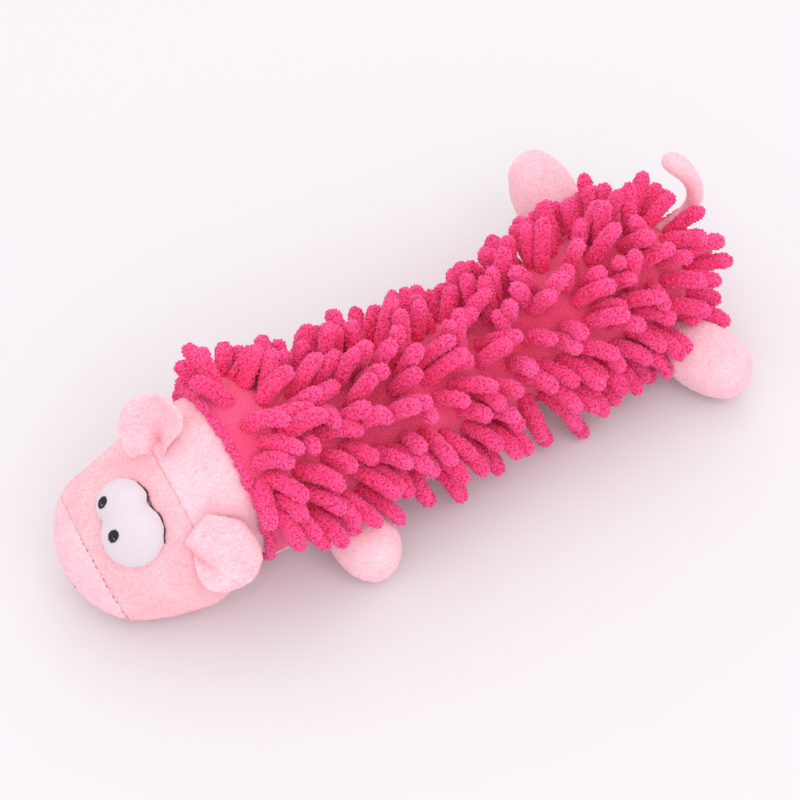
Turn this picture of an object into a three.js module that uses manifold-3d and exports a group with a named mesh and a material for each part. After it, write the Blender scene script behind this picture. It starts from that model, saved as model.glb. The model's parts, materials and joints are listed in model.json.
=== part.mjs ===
// A plush toy for dogs, shaped as a long pig that lies on its belly: a body of noodle cloth in two
// stuffed halves, a pale plush head with a round snout, ears and padded eyes, four stub legs, a curled
// tail, and a squeaker in the fill of the chest.
// Millimetres, +Z up, the floor at 0. The snout points to -X, so the pig's left side is -Y.

import * as THREE from 'three';
import { mergeGeometries, mergeVertices } from 'three/addons/utils/BufferGeometryUtils.js';
import Module from 'manifold-3d';

const wasm = await Module();
wasm.setup();
const { degToRad, lerp } = THREE.MathUtils;

// Body: two swelling tubes that bend on each other at the waist. Sizes are of the cloth, without noodles.
const chestLength = 123;
const chestHalfWidth = 31.5;
const chestHalfHeight = 30.5;
const neckRadius = 39.5;
const neckHeight = 38.6;
const waistRadius = 26;
const waistHeight = 28.5;
const rumpLength = 112;
const rumpHalfWidth = 30.5;
const rumpHalfHeight = 30;
const rumpEndDepth = 22;
const chestTurn = degToRad(-2);
const rumpTurn = degToRad(5.2);

// Cloth, the gaps between sewn or stuffed pieces, and the flat that each resting piece is worn to.
const groundThickness = 1.6;
const plushThickness = 2;
const seamGap = 0.3;
const fitGap = 0.3;
const fillGap = 0.6;
const slideGap = 0.4;
const restFlat = 0.5;
const overrun = 4;

// Noodles: chenille tubes tied into the ground cloth in staggered rows.
const noodleRadius = 3.3;
const noodleSides = 3;
const noodleLength = 17;
const noodleTipLength = 4;
const noodlePitch = 8.6;
const noodleRowPitch = 8.2;
const noodleSink = 2;
const noodleLeastGap = 0.3;
const noodleDroopShare = 0.8;
const noodleLeanShare = 0.15;
const collarLeanShare = 0.9;
const waistLeanShare = 0.5;
const collarBare = 10;
const waistBare = 8;

// Head: measured forward from the middle of the neck.
const headLength = 74;
const cheekHalfWidth = 41;
const cheekHalfHeight = 33;
const headAside = 5.5;
const napeTuck = 9;
const waistTuck = 9;
const crownSeamForward = 20;
const snoutPanelDepth = 11;
const snoutSeamForward = headLength - snoutPanelDepth;
const headTurn = degToRad(-6);
const headPitch = degToRad(15);
const headRoll = degToRad(18);

const leftEyeRadius = 13.4;
const rightEyeRadius = 11;
const eyeBulge = 8.5;
const eyeHalfSpacing = 7.8;
const leftEyeForward = 42;
const rightEyeForward = 38.5;
const pupilRadius = 2.4;
const pupilForward = 5;
const pupilAside = 2;
const nostrilRadius = 2.2;
const nostrilHalfSpacing = 10.5;
const patchThickness = 0.6;

const earLength = 29;
const earHalfWidth = 14.5;
const earRootHalfWidth = 8.5;
const earThickness = 3.6;
const earCup = 5;
const earRootRadius = 1.8;
const leftEarForward = 25.5;
const rightEarForward = 20;
const leftEarAngle = degToRad(54);
const rightEarAngle = degToRad(60);
const leftEarTilt = degToRad(33);
const rightEarTilt = degToRad(62);
const leftEarLift = degToRad(30);
const rightEarLift = degToRad(14);

// Legs and tail.
const frontLegLength = 33;
const rearLeftLegLength = 45;
const rearRightLegLength = 55;
const legHalfWidth = 14.5;
const legHalfHeight = 13.5;
const legRootHalfHeight = 7;
const frontLegAlong = 84;
const rearLegAlong = 87;
const rearRightLift = degToRad(32);
const legSwing = degToRad(20);
const frontLegTurn = degToRad(4);
const rearLeftTurn = degToRad(10);
const rearRightTurn = degToRad(3);
const legRootReach = 6;
const tailRadius = 4.4;
const tailRise = 40;
const tailDepthShare = 0.8;
const tailSwing = degToRad(25);

// Squeaker: a blown bulb with a reed holder pressed in its neck.
const bulbRadius = 15.5;
const bulbHeight = 15;
const bulbWall = 1;
const bulbNeckRadius = 6;
const bulbNeckLength = 6;
const holderBoreRadius = 2.6;
const holderFlangeRadius = 7.4;
const holderFlangeThickness = 1.4;
const reedThickness = 0.5;
const reedLength = 5;
const squeakerAlong = 60;
const squeakerHeight = 12;
const cupLip = 10;

// How finely round shapes are cut.
const tubeSides = 18;
const limbSides = 12;
const ballSides = 14;
const patchSides = 10;
const eyeRings = 9;
const nudgeShare = 0.002;
const facetShare = Math.cos(Math.PI / tubeSides);

// What turns inside a hem is a ball that clears the hem's flats all the way round.
const neckBallRadius = (neckRadius - plushThickness) * facetShare - slideGap;
const waistBallRadius = (waistRadius - plushThickness) * facetShare - slideGap;
const chestHeight = chestHalfHeight - restFlat;
const rumpHeight = rumpHalfHeight - restFlat;
const sideSeamAngle = degToRad(-28);
const seamDrop = seamGap / Math.cos(sideSeamAngle);

const noodlePink = 0xf0407c;
const plushPink = 0xf9c6d4;
const threadBlack = 0x1c1a1e;
const threadPink = 0xd98ba0;
const eyeWhite = 0xf5eef6;
const fillWhite = 0xf2f1ee;
const bulbCream = 0xe9e6dc;

// Closed bodies in and out of the boolean library.
function solidOf(geometry) {
  const points = geometry.clone();
  points.deleteAttribute('normal');
  points.deleteAttribute('uv');
  const merged = mergeVertices(points);
  return new wasm.Manifold(new wasm.Mesh({
    numProp: 3,
    vertProperties: merged.attributes.position.array,
    triVerts: new Uint32Array(merged.index.array),
  }));
}

function geometryOf(solid) {
  const { vertProperties, triVerts } = solid.getMesh();
  const indexed = new THREE.BufferGeometry();
  indexed.setAttribute('position', new THREE.BufferAttribute(vertProperties, 3));
  indexed.setIndex(new THREE.BufferAttribute(triVerts, 1));
  const geometry = indexed.toNonIndexed();
  geometry.computeVertexNormals();
  return geometry;
}

function namedMesh(name, solid, color, roughness) {
  const material = new THREE.MeshStandardMaterial({ color, roughness, metalness: 0 });
  const mesh = new THREE.Mesh(geometryOf(solid), material);
  mesh.name = name;
  return mesh;
}

function middleOf(ring) {
  return ring.reduce((sum, point) => sum.add(point), new THREE.Vector3()).divideScalar(ring.length);
}

// A closed skin through rings that hold as many points each, with a fan to a tip at either end.
function loft(rings, startTip = middleOf(rings[0]), endTip = middleOf(rings.at(-1))) {
  const around = rings[0].length;
  const points = [...rings.flat(), startTip, endTip];
  const last = points.length - 2 - around;
  const faces = [];
  for (let i = 0; i < around; i += 1) {
    const next = (i + 1) % around;
    for (let row = 0; row < last; row += around) {
      faces.push([row + i, row + next, row + around + next]);
      faces.push([row + i, row + around + next, row + around + i]);
    }
    faces.push([next, i, points.length - 2]);
    faces.push([last + i, last + next, points.length - 1]);
  }
  const volumeOf = ([a, b, c]) => points[a].dot(points[b].clone().cross(points[c]));
  const volume = faces.reduce((sum, face) => sum + volumeOf(face), 0);
  const outward = volume > 0 ? faces : faces.map(([a, b, c]) => [a, c, b]);
  return new THREE.BufferGeometry().setFromPoints(points).setIndex(outward.flat());
}

// A tube's profile: rows of along, half width, half height, centre height, lean and shift aside, read by
// its length.
function profileOf(rows) {
  const lengths = [0];
  rows.slice(1).forEach((row, i) => {
    lengths.push(lengths[i] + Math.hypot(row[0] - rows[i][0], row[1] - rows[i][1]));
  });
  const values = rows.flatMap(([along, halfWidth, halfHeight, height, lean = 0, aside = 0]) => (
    [along, halfWidth, halfHeight, height, lean, aside]
  ));
  const curve = new THREE.CubicInterpolant(lengths, values, 6);
  return { length: lengths.at(-1), read: (at) => [...curve.evaluate(at)] };
}

function pointOn(profile, at, angle) {
  const [along, halfWidth, halfHeight, height, lean, aside] = profile.read(at);
  const above = halfHeight * Math.sin(angle);
  return new THREE.Vector3(along - lean * above, halfWidth * Math.cos(angle) + aside, height + above);
}

function normalOn(profile, at, angle) {
  const step = profile.length * nudgeShare;
  const lengthwise = pointOn(profile, at + step, angle).sub(pointOn(profile, at - step, angle));
  const crosswise = pointOn(profile, at, angle + nudgeShare).sub(pointOn(profile, at, angle - nudgeShare));
  const outward = new THREE.Vector3(0, Math.cos(angle), Math.sin(angle));
  const normal = crosswise.cross(lengthwise).normalize();
  return normal.dot(outward) < 0 ? normal.negate() : normal;
}

// The distance along a profile at which it reaches a place along its axis.
function lengthAt(profile, along) {
  let [low, high] = [0, profile.length];
  const rising = profile.read(high)[0] > profile.read(low)[0];
  while (high - low > profile.length * nudgeShare) {
    const middle = (low + high) / 2;
    if ((profile.read(middle)[0] < along) === rising) low = middle;
    else high = middle;
  }
  return (low + high) / 2;
}

function ringOn(profile, at, sides, shift = 0) {
  return Array.from({ length: sides }, (_, i) => {
    const point = pointOn(profile, at, ((i + 0.5) / sides) * 2 * Math.PI);
    point.x += shift;
    return point;
  });
}

// A tube through a profile. A reach past either end makes it a cutter, and a tip closes it round.
function tube(profile, ringCount, sides, { startReach = 0, endReach = 0, startTip, endTip } = {}) {
  const rings = Array.from({ length: ringCount }, (_, i) => (
    ringOn(profile, (profile.length * i) / (ringCount - 1), sides)
  ));
  if (startReach) rings.unshift(ringOn(profile, 0, sides, startReach));
  if (endReach) rings.push(ringOn(profile, profile.length, sides, endReach));
  return loft(rings, startTip, endTip);
}

const floorReach = chestLength * 3;

function aboveFloor(solid, group = new THREE.Group()) {
  group.updateMatrix();
  const floor = new THREE.BoxGeometry(floorReach * 2, floorReach * 2, floorReach);
  floor.translate(0, 0, -floorReach / 2).applyMatrix4(group.matrix.clone().invert());
  return solid.subtract(solidOf(floor));
}

// What lies between two planes across X, or across a pitched X through a place.
function slab(from, to, pitch = 0, along = 0, height = 0) {
  const box = new THREE.BoxGeometry(Math.abs(to - from), floorReach, floorReach);
  return solidOf(box.translate((from + to) / 2, 0, 0).rotateY(-pitch).translate(along, 0, height));
}

// A ball whose flats clear the radius all over.
function ball(radius, along, height) {
  const corner = radius / Math.cos(Math.PI / ballSides) ** 2;
  return solidOf(new THREE.SphereGeometry(corner, ballSides, ballSides / 2).translate(along, 0, height));
}

// The wedge under a tube that its belly panel takes, from the tube's axis down to both side seams.
function bellyWedge(from, to, apexHeight) {
  const corners = (x) => [
    new THREE.Vector3(x, 0, apexHeight),
    new THREE.Vector3(x, -floorReach, apexHeight + floorReach * Math.tan(sideSeamAngle)),
    new THREE.Vector3(x, floorReach, apexHeight + floorReach * Math.tan(sideSeamAngle)),
  ];
  return solidOf(loft([corners(from), corners(to)]));
}

// Profiles of the two halves of the body. An inset gives the inside of a cloth or the skin of the fill.
const chestSwellShares = [[0.89, 0.06], [0.78, 0.6], [0.6, 1], [0.36, 0.86], [0.15, 0.34], [0, 0]];
const chestRings = 12;

function chestProfile(inset) {
  const collar = neckRadius - inset;
  const rows = [[-chestLength, collar, collar * Math.cos(headPitch), neckHeight, Math.tan(headPitch)]];
  chestSwellShares.forEach(([alongShare, swellShare]) => {
    const [endRadius, endHeight] = alongShare > 0.5 ? [neckRadius, neckHeight] : [waistRadius, waistHeight];
    rows.push([
      -chestLength * alongShare,
      lerp(endRadius, chestHalfWidth, swellShare) - inset,
      lerp(endRadius, chestHalfHeight, swellShare) - inset,
      lerp(endHeight, chestHeight, swellShare),
    ]);
  });
  return profileOf(rows);
}

// Rows over a ball that turns in a hem, from how far it is tucked in to where it clears the hem.
function ballRows(radius, height, tuckAngle, clearAngle, facing) {
  const count = Math.ceil((tuckAngle + clearAngle) / ballStepAngle);
  return Array.from({ length: count + 1 }, (_, i) => {
    const angle = lerp(-tuckAngle, clearAngle, i / count);
    return [facing * radius * Math.sin(angle), radius * Math.cos(angle), radius * Math.cos(angle), height];
  });
}

const ballStepAngle = degToRad(16);
const waistClearAngle = degToRad(27);
const rumpSwellShares = [[0.21, 0.35], [0.34, 0.85], [0.5, 1], [0.65, 1]];
const roundingShares = [0.15, 0.42, 0.72, 0.92];
const rumpRings = 15;

function rumpProfile(inset) {
  const tuckAngle = Math.asin(waistTuck / waistBallRadius);
  const rows = ballRows(waistBallRadius - inset, waistHeight, tuckAngle, waistClearAngle, 1);
  rumpSwellShares.forEach(([alongShare, swellShare]) => rows.push([
    rumpLength * alongShare,
    lerp(waistRadius, rumpHalfWidth, swellShare) - inset,
    lerp(waistRadius, rumpHalfHeight, swellShare) - inset,
    lerp(waistHeight, rumpHeight, swellShare),
  ]));
  roundingShares.forEach((share) => {
    const narrowing = Math.sqrt(1 - share ** 2);
    rows.push([
      rumpLength - rumpEndDepth + (rumpEndDepth - inset) * share,
      (rumpHalfWidth - inset) * narrowing,
      (rumpHalfHeight - inset) * narrowing,
      rumpHeight,
    ]);
  });
  return profileOf(rows);
}

const rumpTip = (inset) => new THREE.Vector3(rumpLength - inset, 0, rumpHeight);

// Profile of the head: a ball in the collar, then cheeks, then a snout that drops towards the floor.
const neckClearAngle = degToRad(22);
const headShares = [
  [0.3, 1, 1, 0.95],
  [0.48, 0.95, 0.9, 1],
  [0.66, 0.88, 0.78, 1],
  [0.82, 0.76, 0.64, 0.9],
  [0.92, 0.56, 0.48, 0.85],
  [0.975, 0.32, 0.28, 0.85],
];
const headRings = 13;

function headProfile(inset) {
  const tuckAngle = Math.asin(napeTuck / neckBallRadius);
  const rows = ballRows(neckBallRadius - inset, 0, tuckAngle, neckClearAngle, -1);
  headShares.forEach(([forwardShare, widthShare, heightShare, asideShare]) => rows.push([
    -(headLength - inset) * forwardShare,
    cheekHalfWidth * widthShare - inset,
    cheekHalfHeight * heightShare - inset,
    0,
    0,
    -headAside * asideShare,
  ]));
  return profileOf(rows);
}

const snoutTip = (inset) => new THREE.Vector3(-(headLength - inset), -headAside * headShares.at(-1)[3], 0);

const headTube = (inset, reach = 0) => tube(
  headProfile(inset),
  headRings,
  tubeSides,
  { startReach: reach, endTip: snoutTip(inset) },
);
const headFill = (inset) => tube(headProfile(inset), headRings, tubeSides, {
  startTip: new THREE.Vector3(neckBallRadius - inset, 0, 0),
  endTip: snoutTip(inset),
});
const chestTube = (inset, reach = 0) => tube(
  chestProfile(inset),
  chestRings,
  tubeSides,
  { startReach: -reach, endReach: reach },
);
const rumpTube = (inset, reach = 0) => tube(
  rumpProfile(inset),
  rumpRings,
  tubeSides,
  { startReach: -reach, endTip: rumpTip(inset) },
);
const rumpFill = (inset) => tube(rumpProfile(inset), rumpRings, tubeSides, {
  startTip: new THREE.Vector3(inset - waistBallRadius, 0, waistHeight),
  endTip: rumpTip(inset),
});

// A limb turns about an upright line through its group's place. What the body would reach of it at any
// angle of its swing is cut off its root, so that the root comes to an edge at the seam that holds it.
const swingStepShares = [-1, -0.5, 0, 0.5, 1];

function turnAbout(place, angle) {
  const { x, y } = place;
  const turn = new THREE.Matrix4().makeRotationZ(angle);
  return new THREE.Matrix4().makeTranslation(x, y, 0).multiply(turn)
    .multiply(new THREE.Matrix4().makeTranslation(-x, -y, 0));
}

function clearOfBody(solid, group, body, swing) {
  group.updateMatrix();
  return swingStepShares.reduce((left, share) => {
    const toLimb = group.matrix.clone().invert().multiply(turnAbout(group.position, swing * share));
    return left.subtract(solidOf(body.clone().applyMatrix4(toLimb)));
  }, solid);
}

// A leg swells from a root pinched in the side seam to a round foot.
const legShares = [[0, 0.72, 0], [0.25, 0.88, 0.5], [0.52, 1, 1], [0.78, 0.93, 0.95], [0.94, 0.62, 0.66]];
const legRings = 6;

function legTube(length, footHeight, inset, reach = 0) {
  const profile = profileOf(legShares.map(([outShare, widthShare, swellShare]) => [
    lerp(-legRootReach, length - inset, outShare),
    legHalfWidth * widthShare - inset,
    lerp(legRootHalfHeight, legHalfHeight, swellShare) - inset,
    lerp(0, footHeight, outShare),
  ]));
  const foot = new THREE.Vector3(length - inset, 0, footHeight);
  return tube(profile, legRings, limbSides, { startReach: -reach, endTip: foot });
}

function legGroup(name, skin, along, side, length, turn, body, lift = 0) {
  const at = lengthAt(skin, along);
  const angle = side > 0 ? sideSeamAngle : Math.PI - sideSeamAngle;
  const root = pointOn(skin, at, angle);
  const group = new THREE.Group();
  group.position.set(root.x, root.y + side * seamGap, root.z);
  group.rotation.set(0, -lift, side * (Math.PI / 2 - turn), 'ZYX');
  const footHeight = lift ? 0 : legHalfHeight - restFlat - root.z;
  const tubeOf = (inset, reach) => solidOf(legTube(length, footHeight, inset, reach));
  const cover = tubeOf(0).subtract(tubeOf(plushThickness, overrun));
  const fill = tubeOf(plushThickness + fillGap);
  const cut = (solid) => clearOfBody(aboveFloor(solid, group), group, body, legSwing);
  group.add(namedMesh(`${name}_cover`, cut(cover), plushPink, 0.95));
  group.add(namedMesh(`${name}_stuffing`, cut(fill), fillWhite, 0.95));
  return group;
}

// The tail: a thin roll that leaves the rump, rises and curls over forwards.
const tailPathShares = [
  [-0.2, 0, 0],
  [0.22, 0, 0.12],
  [0.4, 0, 0.5],
  [0.3, -0.1, 0.9],
  [-0.1, -0.2, 1.08],
  [-0.42, -0.25, 0.85],
];
const tailRootShare = 1.1;
const tailTipShare = 0.7;
const tailSteps = 12;
const tailSides = 7;

function tailTube() {
  const path = new THREE.CatmullRomCurve3(tailPathShares.map((share) => (
    new THREE.Vector3(...share).multiplyScalar(tailRise)
  )));
  const frames = path.computeFrenetFrames(tailSteps);
  const rings = Array.from({ length: tailSteps + 1 }, (_, i) => {
    const share = i / tailSteps;
    const radius = tailRadius * (i === tailSteps ? tailTipShare : lerp(tailRootShare, 1, share));
    return Array.from({ length: tailSides }, (__, k) => {
      const angle = (k / tailSides) * 2 * Math.PI;
      return path.getPointAt(share)
        .addScaledVector(frames.normals[i], radius * Math.cos(angle))
        .addScaledVector(frames.binormals[i], radius * Math.sin(angle));
    });
  });
  const tip = path.getPointAt(1).addScaledVector(frames.tangents[tailSteps], tailRadius / 2);
  return loft(rings, undefined, tip);
}

function tailGroup(body) {
  const at = lengthAt(rumpSkin, rumpLength - rumpEndDepth * (1 - tailDepthShare));
  const root = pointOn(rumpSkin, at, Math.PI / 2);
  const group = new THREE.Group();
  group.position.copy(root);
  const solid = clearOfBody(solidOf(tailTube()), group, body, tailSwing);
  group.add(namedMesh('tail', solid, plushPink, 0.95));
  return group;
}

// Noodles: three-sided tubes with a point, that stand on the cloth, droop at the sides and never cross.
function noodle(root, normal, direction, length) {
  const lengthwise = new THREE.Vector3(1, 0, 0);
  const frame = (axis) => {
    const first = lengthwise.clone().addScaledVector(axis, -lengthwise.dot(axis)).normalize();
    return [first, axis.clone().cross(first)];
  };
  const ring = (centre, [first, second]) => Array.from({ length: noodleSides }, (_, corner) => {
    const angle = (corner / noodleSides) * 2 * Math.PI;
    return centre.clone()
      .addScaledVector(first, noodleRadius * Math.cos(angle))
      .addScaledVector(second, noodleRadius * Math.sin(angle));
  });
  const foot = root.clone().addScaledVector(normal, -noodleSink);
  const shoulder = root.clone().addScaledVector(direction, length - noodleTipLength);
  return loft(
    [ring(foot, frame(normal)), ring(shoulder, frame(direction))],
    undefined,
    root.clone().addScaledVector(direction, length),
  );
}

// A steady scatter from -0.5 to 0.5, the same on every run, of a kind of its own for each use.
const scatterShare = 0.618034;
const wanderShare = (count, kind) => ((count * scatterShare * kind) % 1) - 0.5;
const noodleWanderShare = 0.3;
const staggerShares = [0.25, 0.75];
const leanTryShares = [1, 0.5, 0, -0.5];

// From 1 at both ends of a stretch to 0 at its middle.
const middleShare = 0.5;
const endness = (share) => Math.abs(1 - share / middleShare) ** 3;

function noodlesOn(skin, from, to, lengthwiseLean, obstacles) {
  const least = (noodleRadius * 2 + noodleLeastGap) ** 2;
  const axes = [];
  const geometries = [];
  const rowCount = Math.round((to - from) / noodleRowPitch);
  let count = 0;
  for (let row = 0; row <= rowCount; row += 1) {
    const at = lerp(from, to, row / rowCount);
    const [, halfWidth, halfHeight] = skin.read(at);
    const lowest = sideSeamAngle + (noodleRadius + seamGap) / halfWidth;
    const arc = Math.PI - 2 * lowest;
    const across = Math.max(1, Math.round((arc * (halfWidth + halfHeight)) / 2 / noodlePitch));
    for (let i = 0; i < across; i += 1) {
      count += 1;
      const angle = lowest + (arc * (i + staggerShares[row % 2])) / across;
      const root = pointOn(skin, at, angle);
      const normal = normalOn(skin, at, angle);
      const wander = (kind) => noodleWanderShare * wanderShare(count, kind);
      const length = noodleLength * (1 + wander(1));
      const droop = noodleDroopShare * (1 - Math.max(0, normal.z));
      const lean = new THREE.Vector3(
        lengthwiseLean(at / skin.length) + wander(2),
        wander(3),
        -droop,
      );
      const axis = leanTryShares.map((share) => {
        const direction = normal.clone().addScaledVector(lean, share).normalize();
        return new THREE.Line3(root, root.clone().addScaledVector(direction, length));
      }).find((line) => line.end.z > noodleRadius
        && axes.every((other) => line.distanceSqToLine3(other) > least)
        && obstacles.every((other) => (
          line.distanceSqToLine3(other.line) > (other.radius + noodleRadius + noodleLeastGap) ** 2
        )));
      if (axis) {
        axes.push(axis);
        geometries.push(noodle(root, normal, axis.delta(new THREE.Vector3()).normalize(), length));
      }
    }
  }
  return solidOf(mergeGeometries(geometries));
}

// What a limb fills at its middle and at both ends of its swing, as thick lines for the noodles to miss.
function sweepOf(group, swing, points, radius) {
  group.updateMatrix();
  return [-1, 0, 1].flatMap((share) => {
    const toBody = turnAbout(group.position, swing * share).multiply(group.matrix);
    return points.slice(1).map((point, i) => ({
      line: new THREE.Line3(points[i].clone().applyMatrix4(toBody), point.clone().applyMatrix4(toBody)),
      radius,
    }));
  });
}

const legLine = (length) => [new THREE.Vector3(), new THREE.Vector3(length - legHalfWidth, 0, 0)];
const tailLine = tailPathShares.map((share) => new THREE.Vector3(...share).multiplyScalar(tailRise));

// The skins of the three stuffed bodies, without their noodles.
const chestSkin = chestProfile(0);
const rumpSkin = rumpProfile(0);
const headSkin = headProfile(0);

// The squeaker lies in a pocket of the fill that opens down to the belly panel.
function squeakerGroup() {
  const group = new THREE.Group();
  const neck = bulbNeckRadius;
  const bore = bulbNeckRadius - bulbWall;
  const roundShares = [0.35, 0.7, 0.92, 1, 0.92, 0.7];
  const wall = (radius, top, inset) => roundShares.map((share, i) => {
    const height = lerp(top, 0, i / (roundShares.length - 1));
    return new THREE.Vector2(radius * share, Math.abs(height) < inset ? inset : height);
  });
  const outer = wall(bulbRadius, bulbHeight - bulbWall, 0);
  const inner = wall(bulbRadius - bulbWall, bulbHeight - bulbWall * 2, bulbWall);
  const profile = [
    new THREE.Vector2(0, bulbHeight),
    ...outer,
    new THREE.Vector2(neck, -bulbWall),
    new THREE.Vector2(neck, -bulbNeckLength),
    new THREE.Vector2(bore, -bulbNeckLength),
    new THREE.Vector2(bore, 0),
    ...inner.reverse(),
    new THREE.Vector2(0, bulbHeight - bulbWall),
  ];
  const upright = (geometry) => geometry.rotateX(Math.PI / 2);
  const bulb = upright(new THREE.LatheGeometry(profile.reverse(), limbSides));
  const holderRadius = bore - fitGap;
  const holderProfile = [
    new THREE.Vector2(holderBoreRadius, -bulbNeckLength - fitGap - holderFlangeThickness),
    new THREE.Vector2(holderFlangeRadius, -bulbNeckLength - fitGap - holderFlangeThickness),
    new THREE.Vector2(holderFlangeRadius, -bulbNeckLength - fitGap),
    new THREE.Vector2(holderRadius, -bulbNeckLength - fitGap),
    new THREE.Vector2(holderRadius, 0),
    new THREE.Vector2(holderBoreRadius, 0),
    new THREE.Vector2(holderBoreRadius, -bulbNeckLength - fitGap - holderFlangeThickness),
  ];
  const holder = upright(new THREE.LatheGeometry(holderProfile, limbSides));
  const reed = new THREE.BoxGeometry((holderBoreRadius - fitGap) * 2, reedThickness, reedLength);
  reed.translate(0, 0, -bulbNeckLength / 2);
  group.add(namedMesh('squeaker_bulb', solidOf(bulb), bulbCream, 0.5));
  group.add(namedMesh('squeaker_nozzle', solidOf(holder), bulbCream, 0.4));
  group.add(namedMesh('squeaker_reed', solidOf(reed), bulbCream, 0.4));
  group.position.set(-squeakerAlong, 0, squeakerHeight);
  return group;
}

function squeakerPocket() {
  const height = bulbHeight + fitGap;
  const radius = bulbRadius + fitGap;
  const pocket = new THREE.CylinderGeometry(radius, radius, height + squeakerHeight, tubeSides);
  pocket.rotateX(Math.PI / 2);
  return solidOf(pocket.translate(-squeakerAlong, 0, (height + squeakerHeight) / 2));
}

// Front half of the body: noodle cloth over the top and sides, a plush panel under it, fill inside.
function chestGroup() {
  const group = new THREE.Group();
  const body = chestTube(-seamGap);
  const [leftLeg, rightLeg] = [['leg_front_left', -1], ['leg_front_right', 1]].map(([name, side]) => (
    legGroup(name, chestSkin, -frontLegAlong, side, frontLegLength, frontLegTurn, body)
  ));
  const skin = solidOf(chestTube(0));
  const ends = [-chestLength - overrun, overrun];
  const ground = skin.subtract(bellyWedge(...ends, chestHeight));
  const panel = skin.subtract(solidOf(chestTube(plushThickness, overrun)))
    .intersect(bellyWedge(...ends, chestHeight - seamDrop));
  const obstacles = [leftLeg, rightLeg].flatMap((leg) => (
    sweepOf(leg, legSwing, legLine(frontLegLength), legHalfWidth)
  ));
  const noodles = noodlesOn(
    chestSkin,
    collarBare,
    chestSkin.length - waistBare,
    (share) => noodleLeanShare + lerp(collarLeanShare, -waistLeanShare, share) * endness(share),
    obstacles,
  );
  const cover = ground.add(noodles).subtract(solidOf(chestTube(groundThickness, overrun)));
  const cupEdge = (radius) => Math.sqrt(radius ** 2 - (radius - cupLip) ** 2);
  const fill = solidOf(chestTube(plushThickness + fillGap))
    .subtract(slab(-floorReach, cupEdge(neckBallRadius), headPitch, -chestLength, neckHeight))
    .subtract(slab(-cupEdge(waistBallRadius), floorReach))
    .subtract(ball(neckBallRadius + slideGap, -chestLength, neckHeight))
    .subtract(ball(waistBallRadius + slideGap, 0, waistHeight))
    .subtract(squeakerPocket());
  group.add(namedMesh('chest_noodle_cover', aboveFloor(cover), noodlePink, 1));
  group.add(namedMesh('chest_belly_panel', aboveFloor(panel), plushPink, 0.95));
  group.add(namedMesh('chest_stuffing', aboveFloor(fill), fillWhite, 0.95));
  group.add(squeakerGroup(), leftLeg, rightLeg);
  group.rotation.z = chestTurn;
  return group;
}

// Rear half of the body, closed round at its end.
function rumpGroup() {
  const group = new THREE.Group();
  const body = rumpTube(-seamGap);
  const [leftLeg, rightLeg] = [
    ['leg_rear_left', -1, rearLeftLegLength, rearLeftTurn, 0],
    ['leg_rear_right', 1, rearRightLegLength, rearRightTurn, rearRightLift],
  ].map(([name, side, length, turn, lift]) => (
    legGroup(name, rumpSkin, rearLegAlong, side, length, turn, body, lift)
  ));
  const tail = tailGroup(body);
  const skin = solidOf(rumpTube(0));
  const panelStart = waistBallRadius * Math.sin(waistClearAngle);
  const ground = skin.subtract(bellyWedge(panelStart, rumpLength + overrun, rumpHeight));
  const panel = skin.subtract(solidOf(rumpTube(plushThickness, overrun)))
    .intersect(bellyWedge(panelStart + seamGap, rumpLength + overrun, rumpHeight - seamDrop));
  const sweptLeg = (leg, length) => sweepOf(leg, legSwing, legLine(length), legHalfWidth);
  const obstacles = [
    ...sweptLeg(leftLeg, rearLeftLegLength),
    ...sweptLeg(rightLeg, rearRightLegLength),
  ];
  obstacles.push(...sweepOf(tail, tailSwing, tailLine, tailRadius * tailRootShare));
  const start = lengthAt(rumpSkin, panelStart) + noodleRadius;
  const noodles = noodlesOn(
    rumpSkin,
    start,
    rumpSkin.length - noodleRadius,
    (share) => noodleLeanShare + (share < middleShare ? waistLeanShare * endness(share) : 0),
    obstacles,
  );
  const cover = ground.add(noodles).subtract(solidOf(rumpTube(groundThickness, overrun)));
  const fill = solidOf(rumpFill(plushThickness + fillGap));
  group.add(namedMesh('rump_noodle_cover', aboveFloor(cover), noodlePink, 1));
  group.add(namedMesh('rump_belly_panel', aboveFloor(panel), plushPink, 0.95));
  group.add(namedMesh('rump_stuffing', aboveFloor(fill), fillWhite, 0.95));
  group.add(leftLeg, rightLeg, tail);
  group.rotation.z = rumpTurn;
  return group;
}

// The ears: cupped flaps that hinge on a root bar along the ear-to-ear seam.
const earShares = [[0, 0], [0.22, 0.62], [0.5, 1], [0.75, 0.9], [0.93, 0.52]];
const earSides = 12;

function earTube() {
  const rings = earShares.map(([outShare, widthShare]) => Array.from({ length: earSides }, (_, i) => {
    const angle = (i / earSides) * 2 * Math.PI;
    const halfWidth = lerp(earRootHalfWidth, earHalfWidth, widthShare);
    const across = halfWidth * Math.cos(angle);
    const cup = earCup * outShare * (across / earHalfWidth) ** 2;
    return new THREE.Vector3((earThickness / 2) * Math.sin(angle) - cup, across, earLength * outShare);
  }));
  return loft(rings, new THREE.Vector3(0, 0, -earRootRadius), new THREE.Vector3(0, 0, earLength));
}

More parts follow.
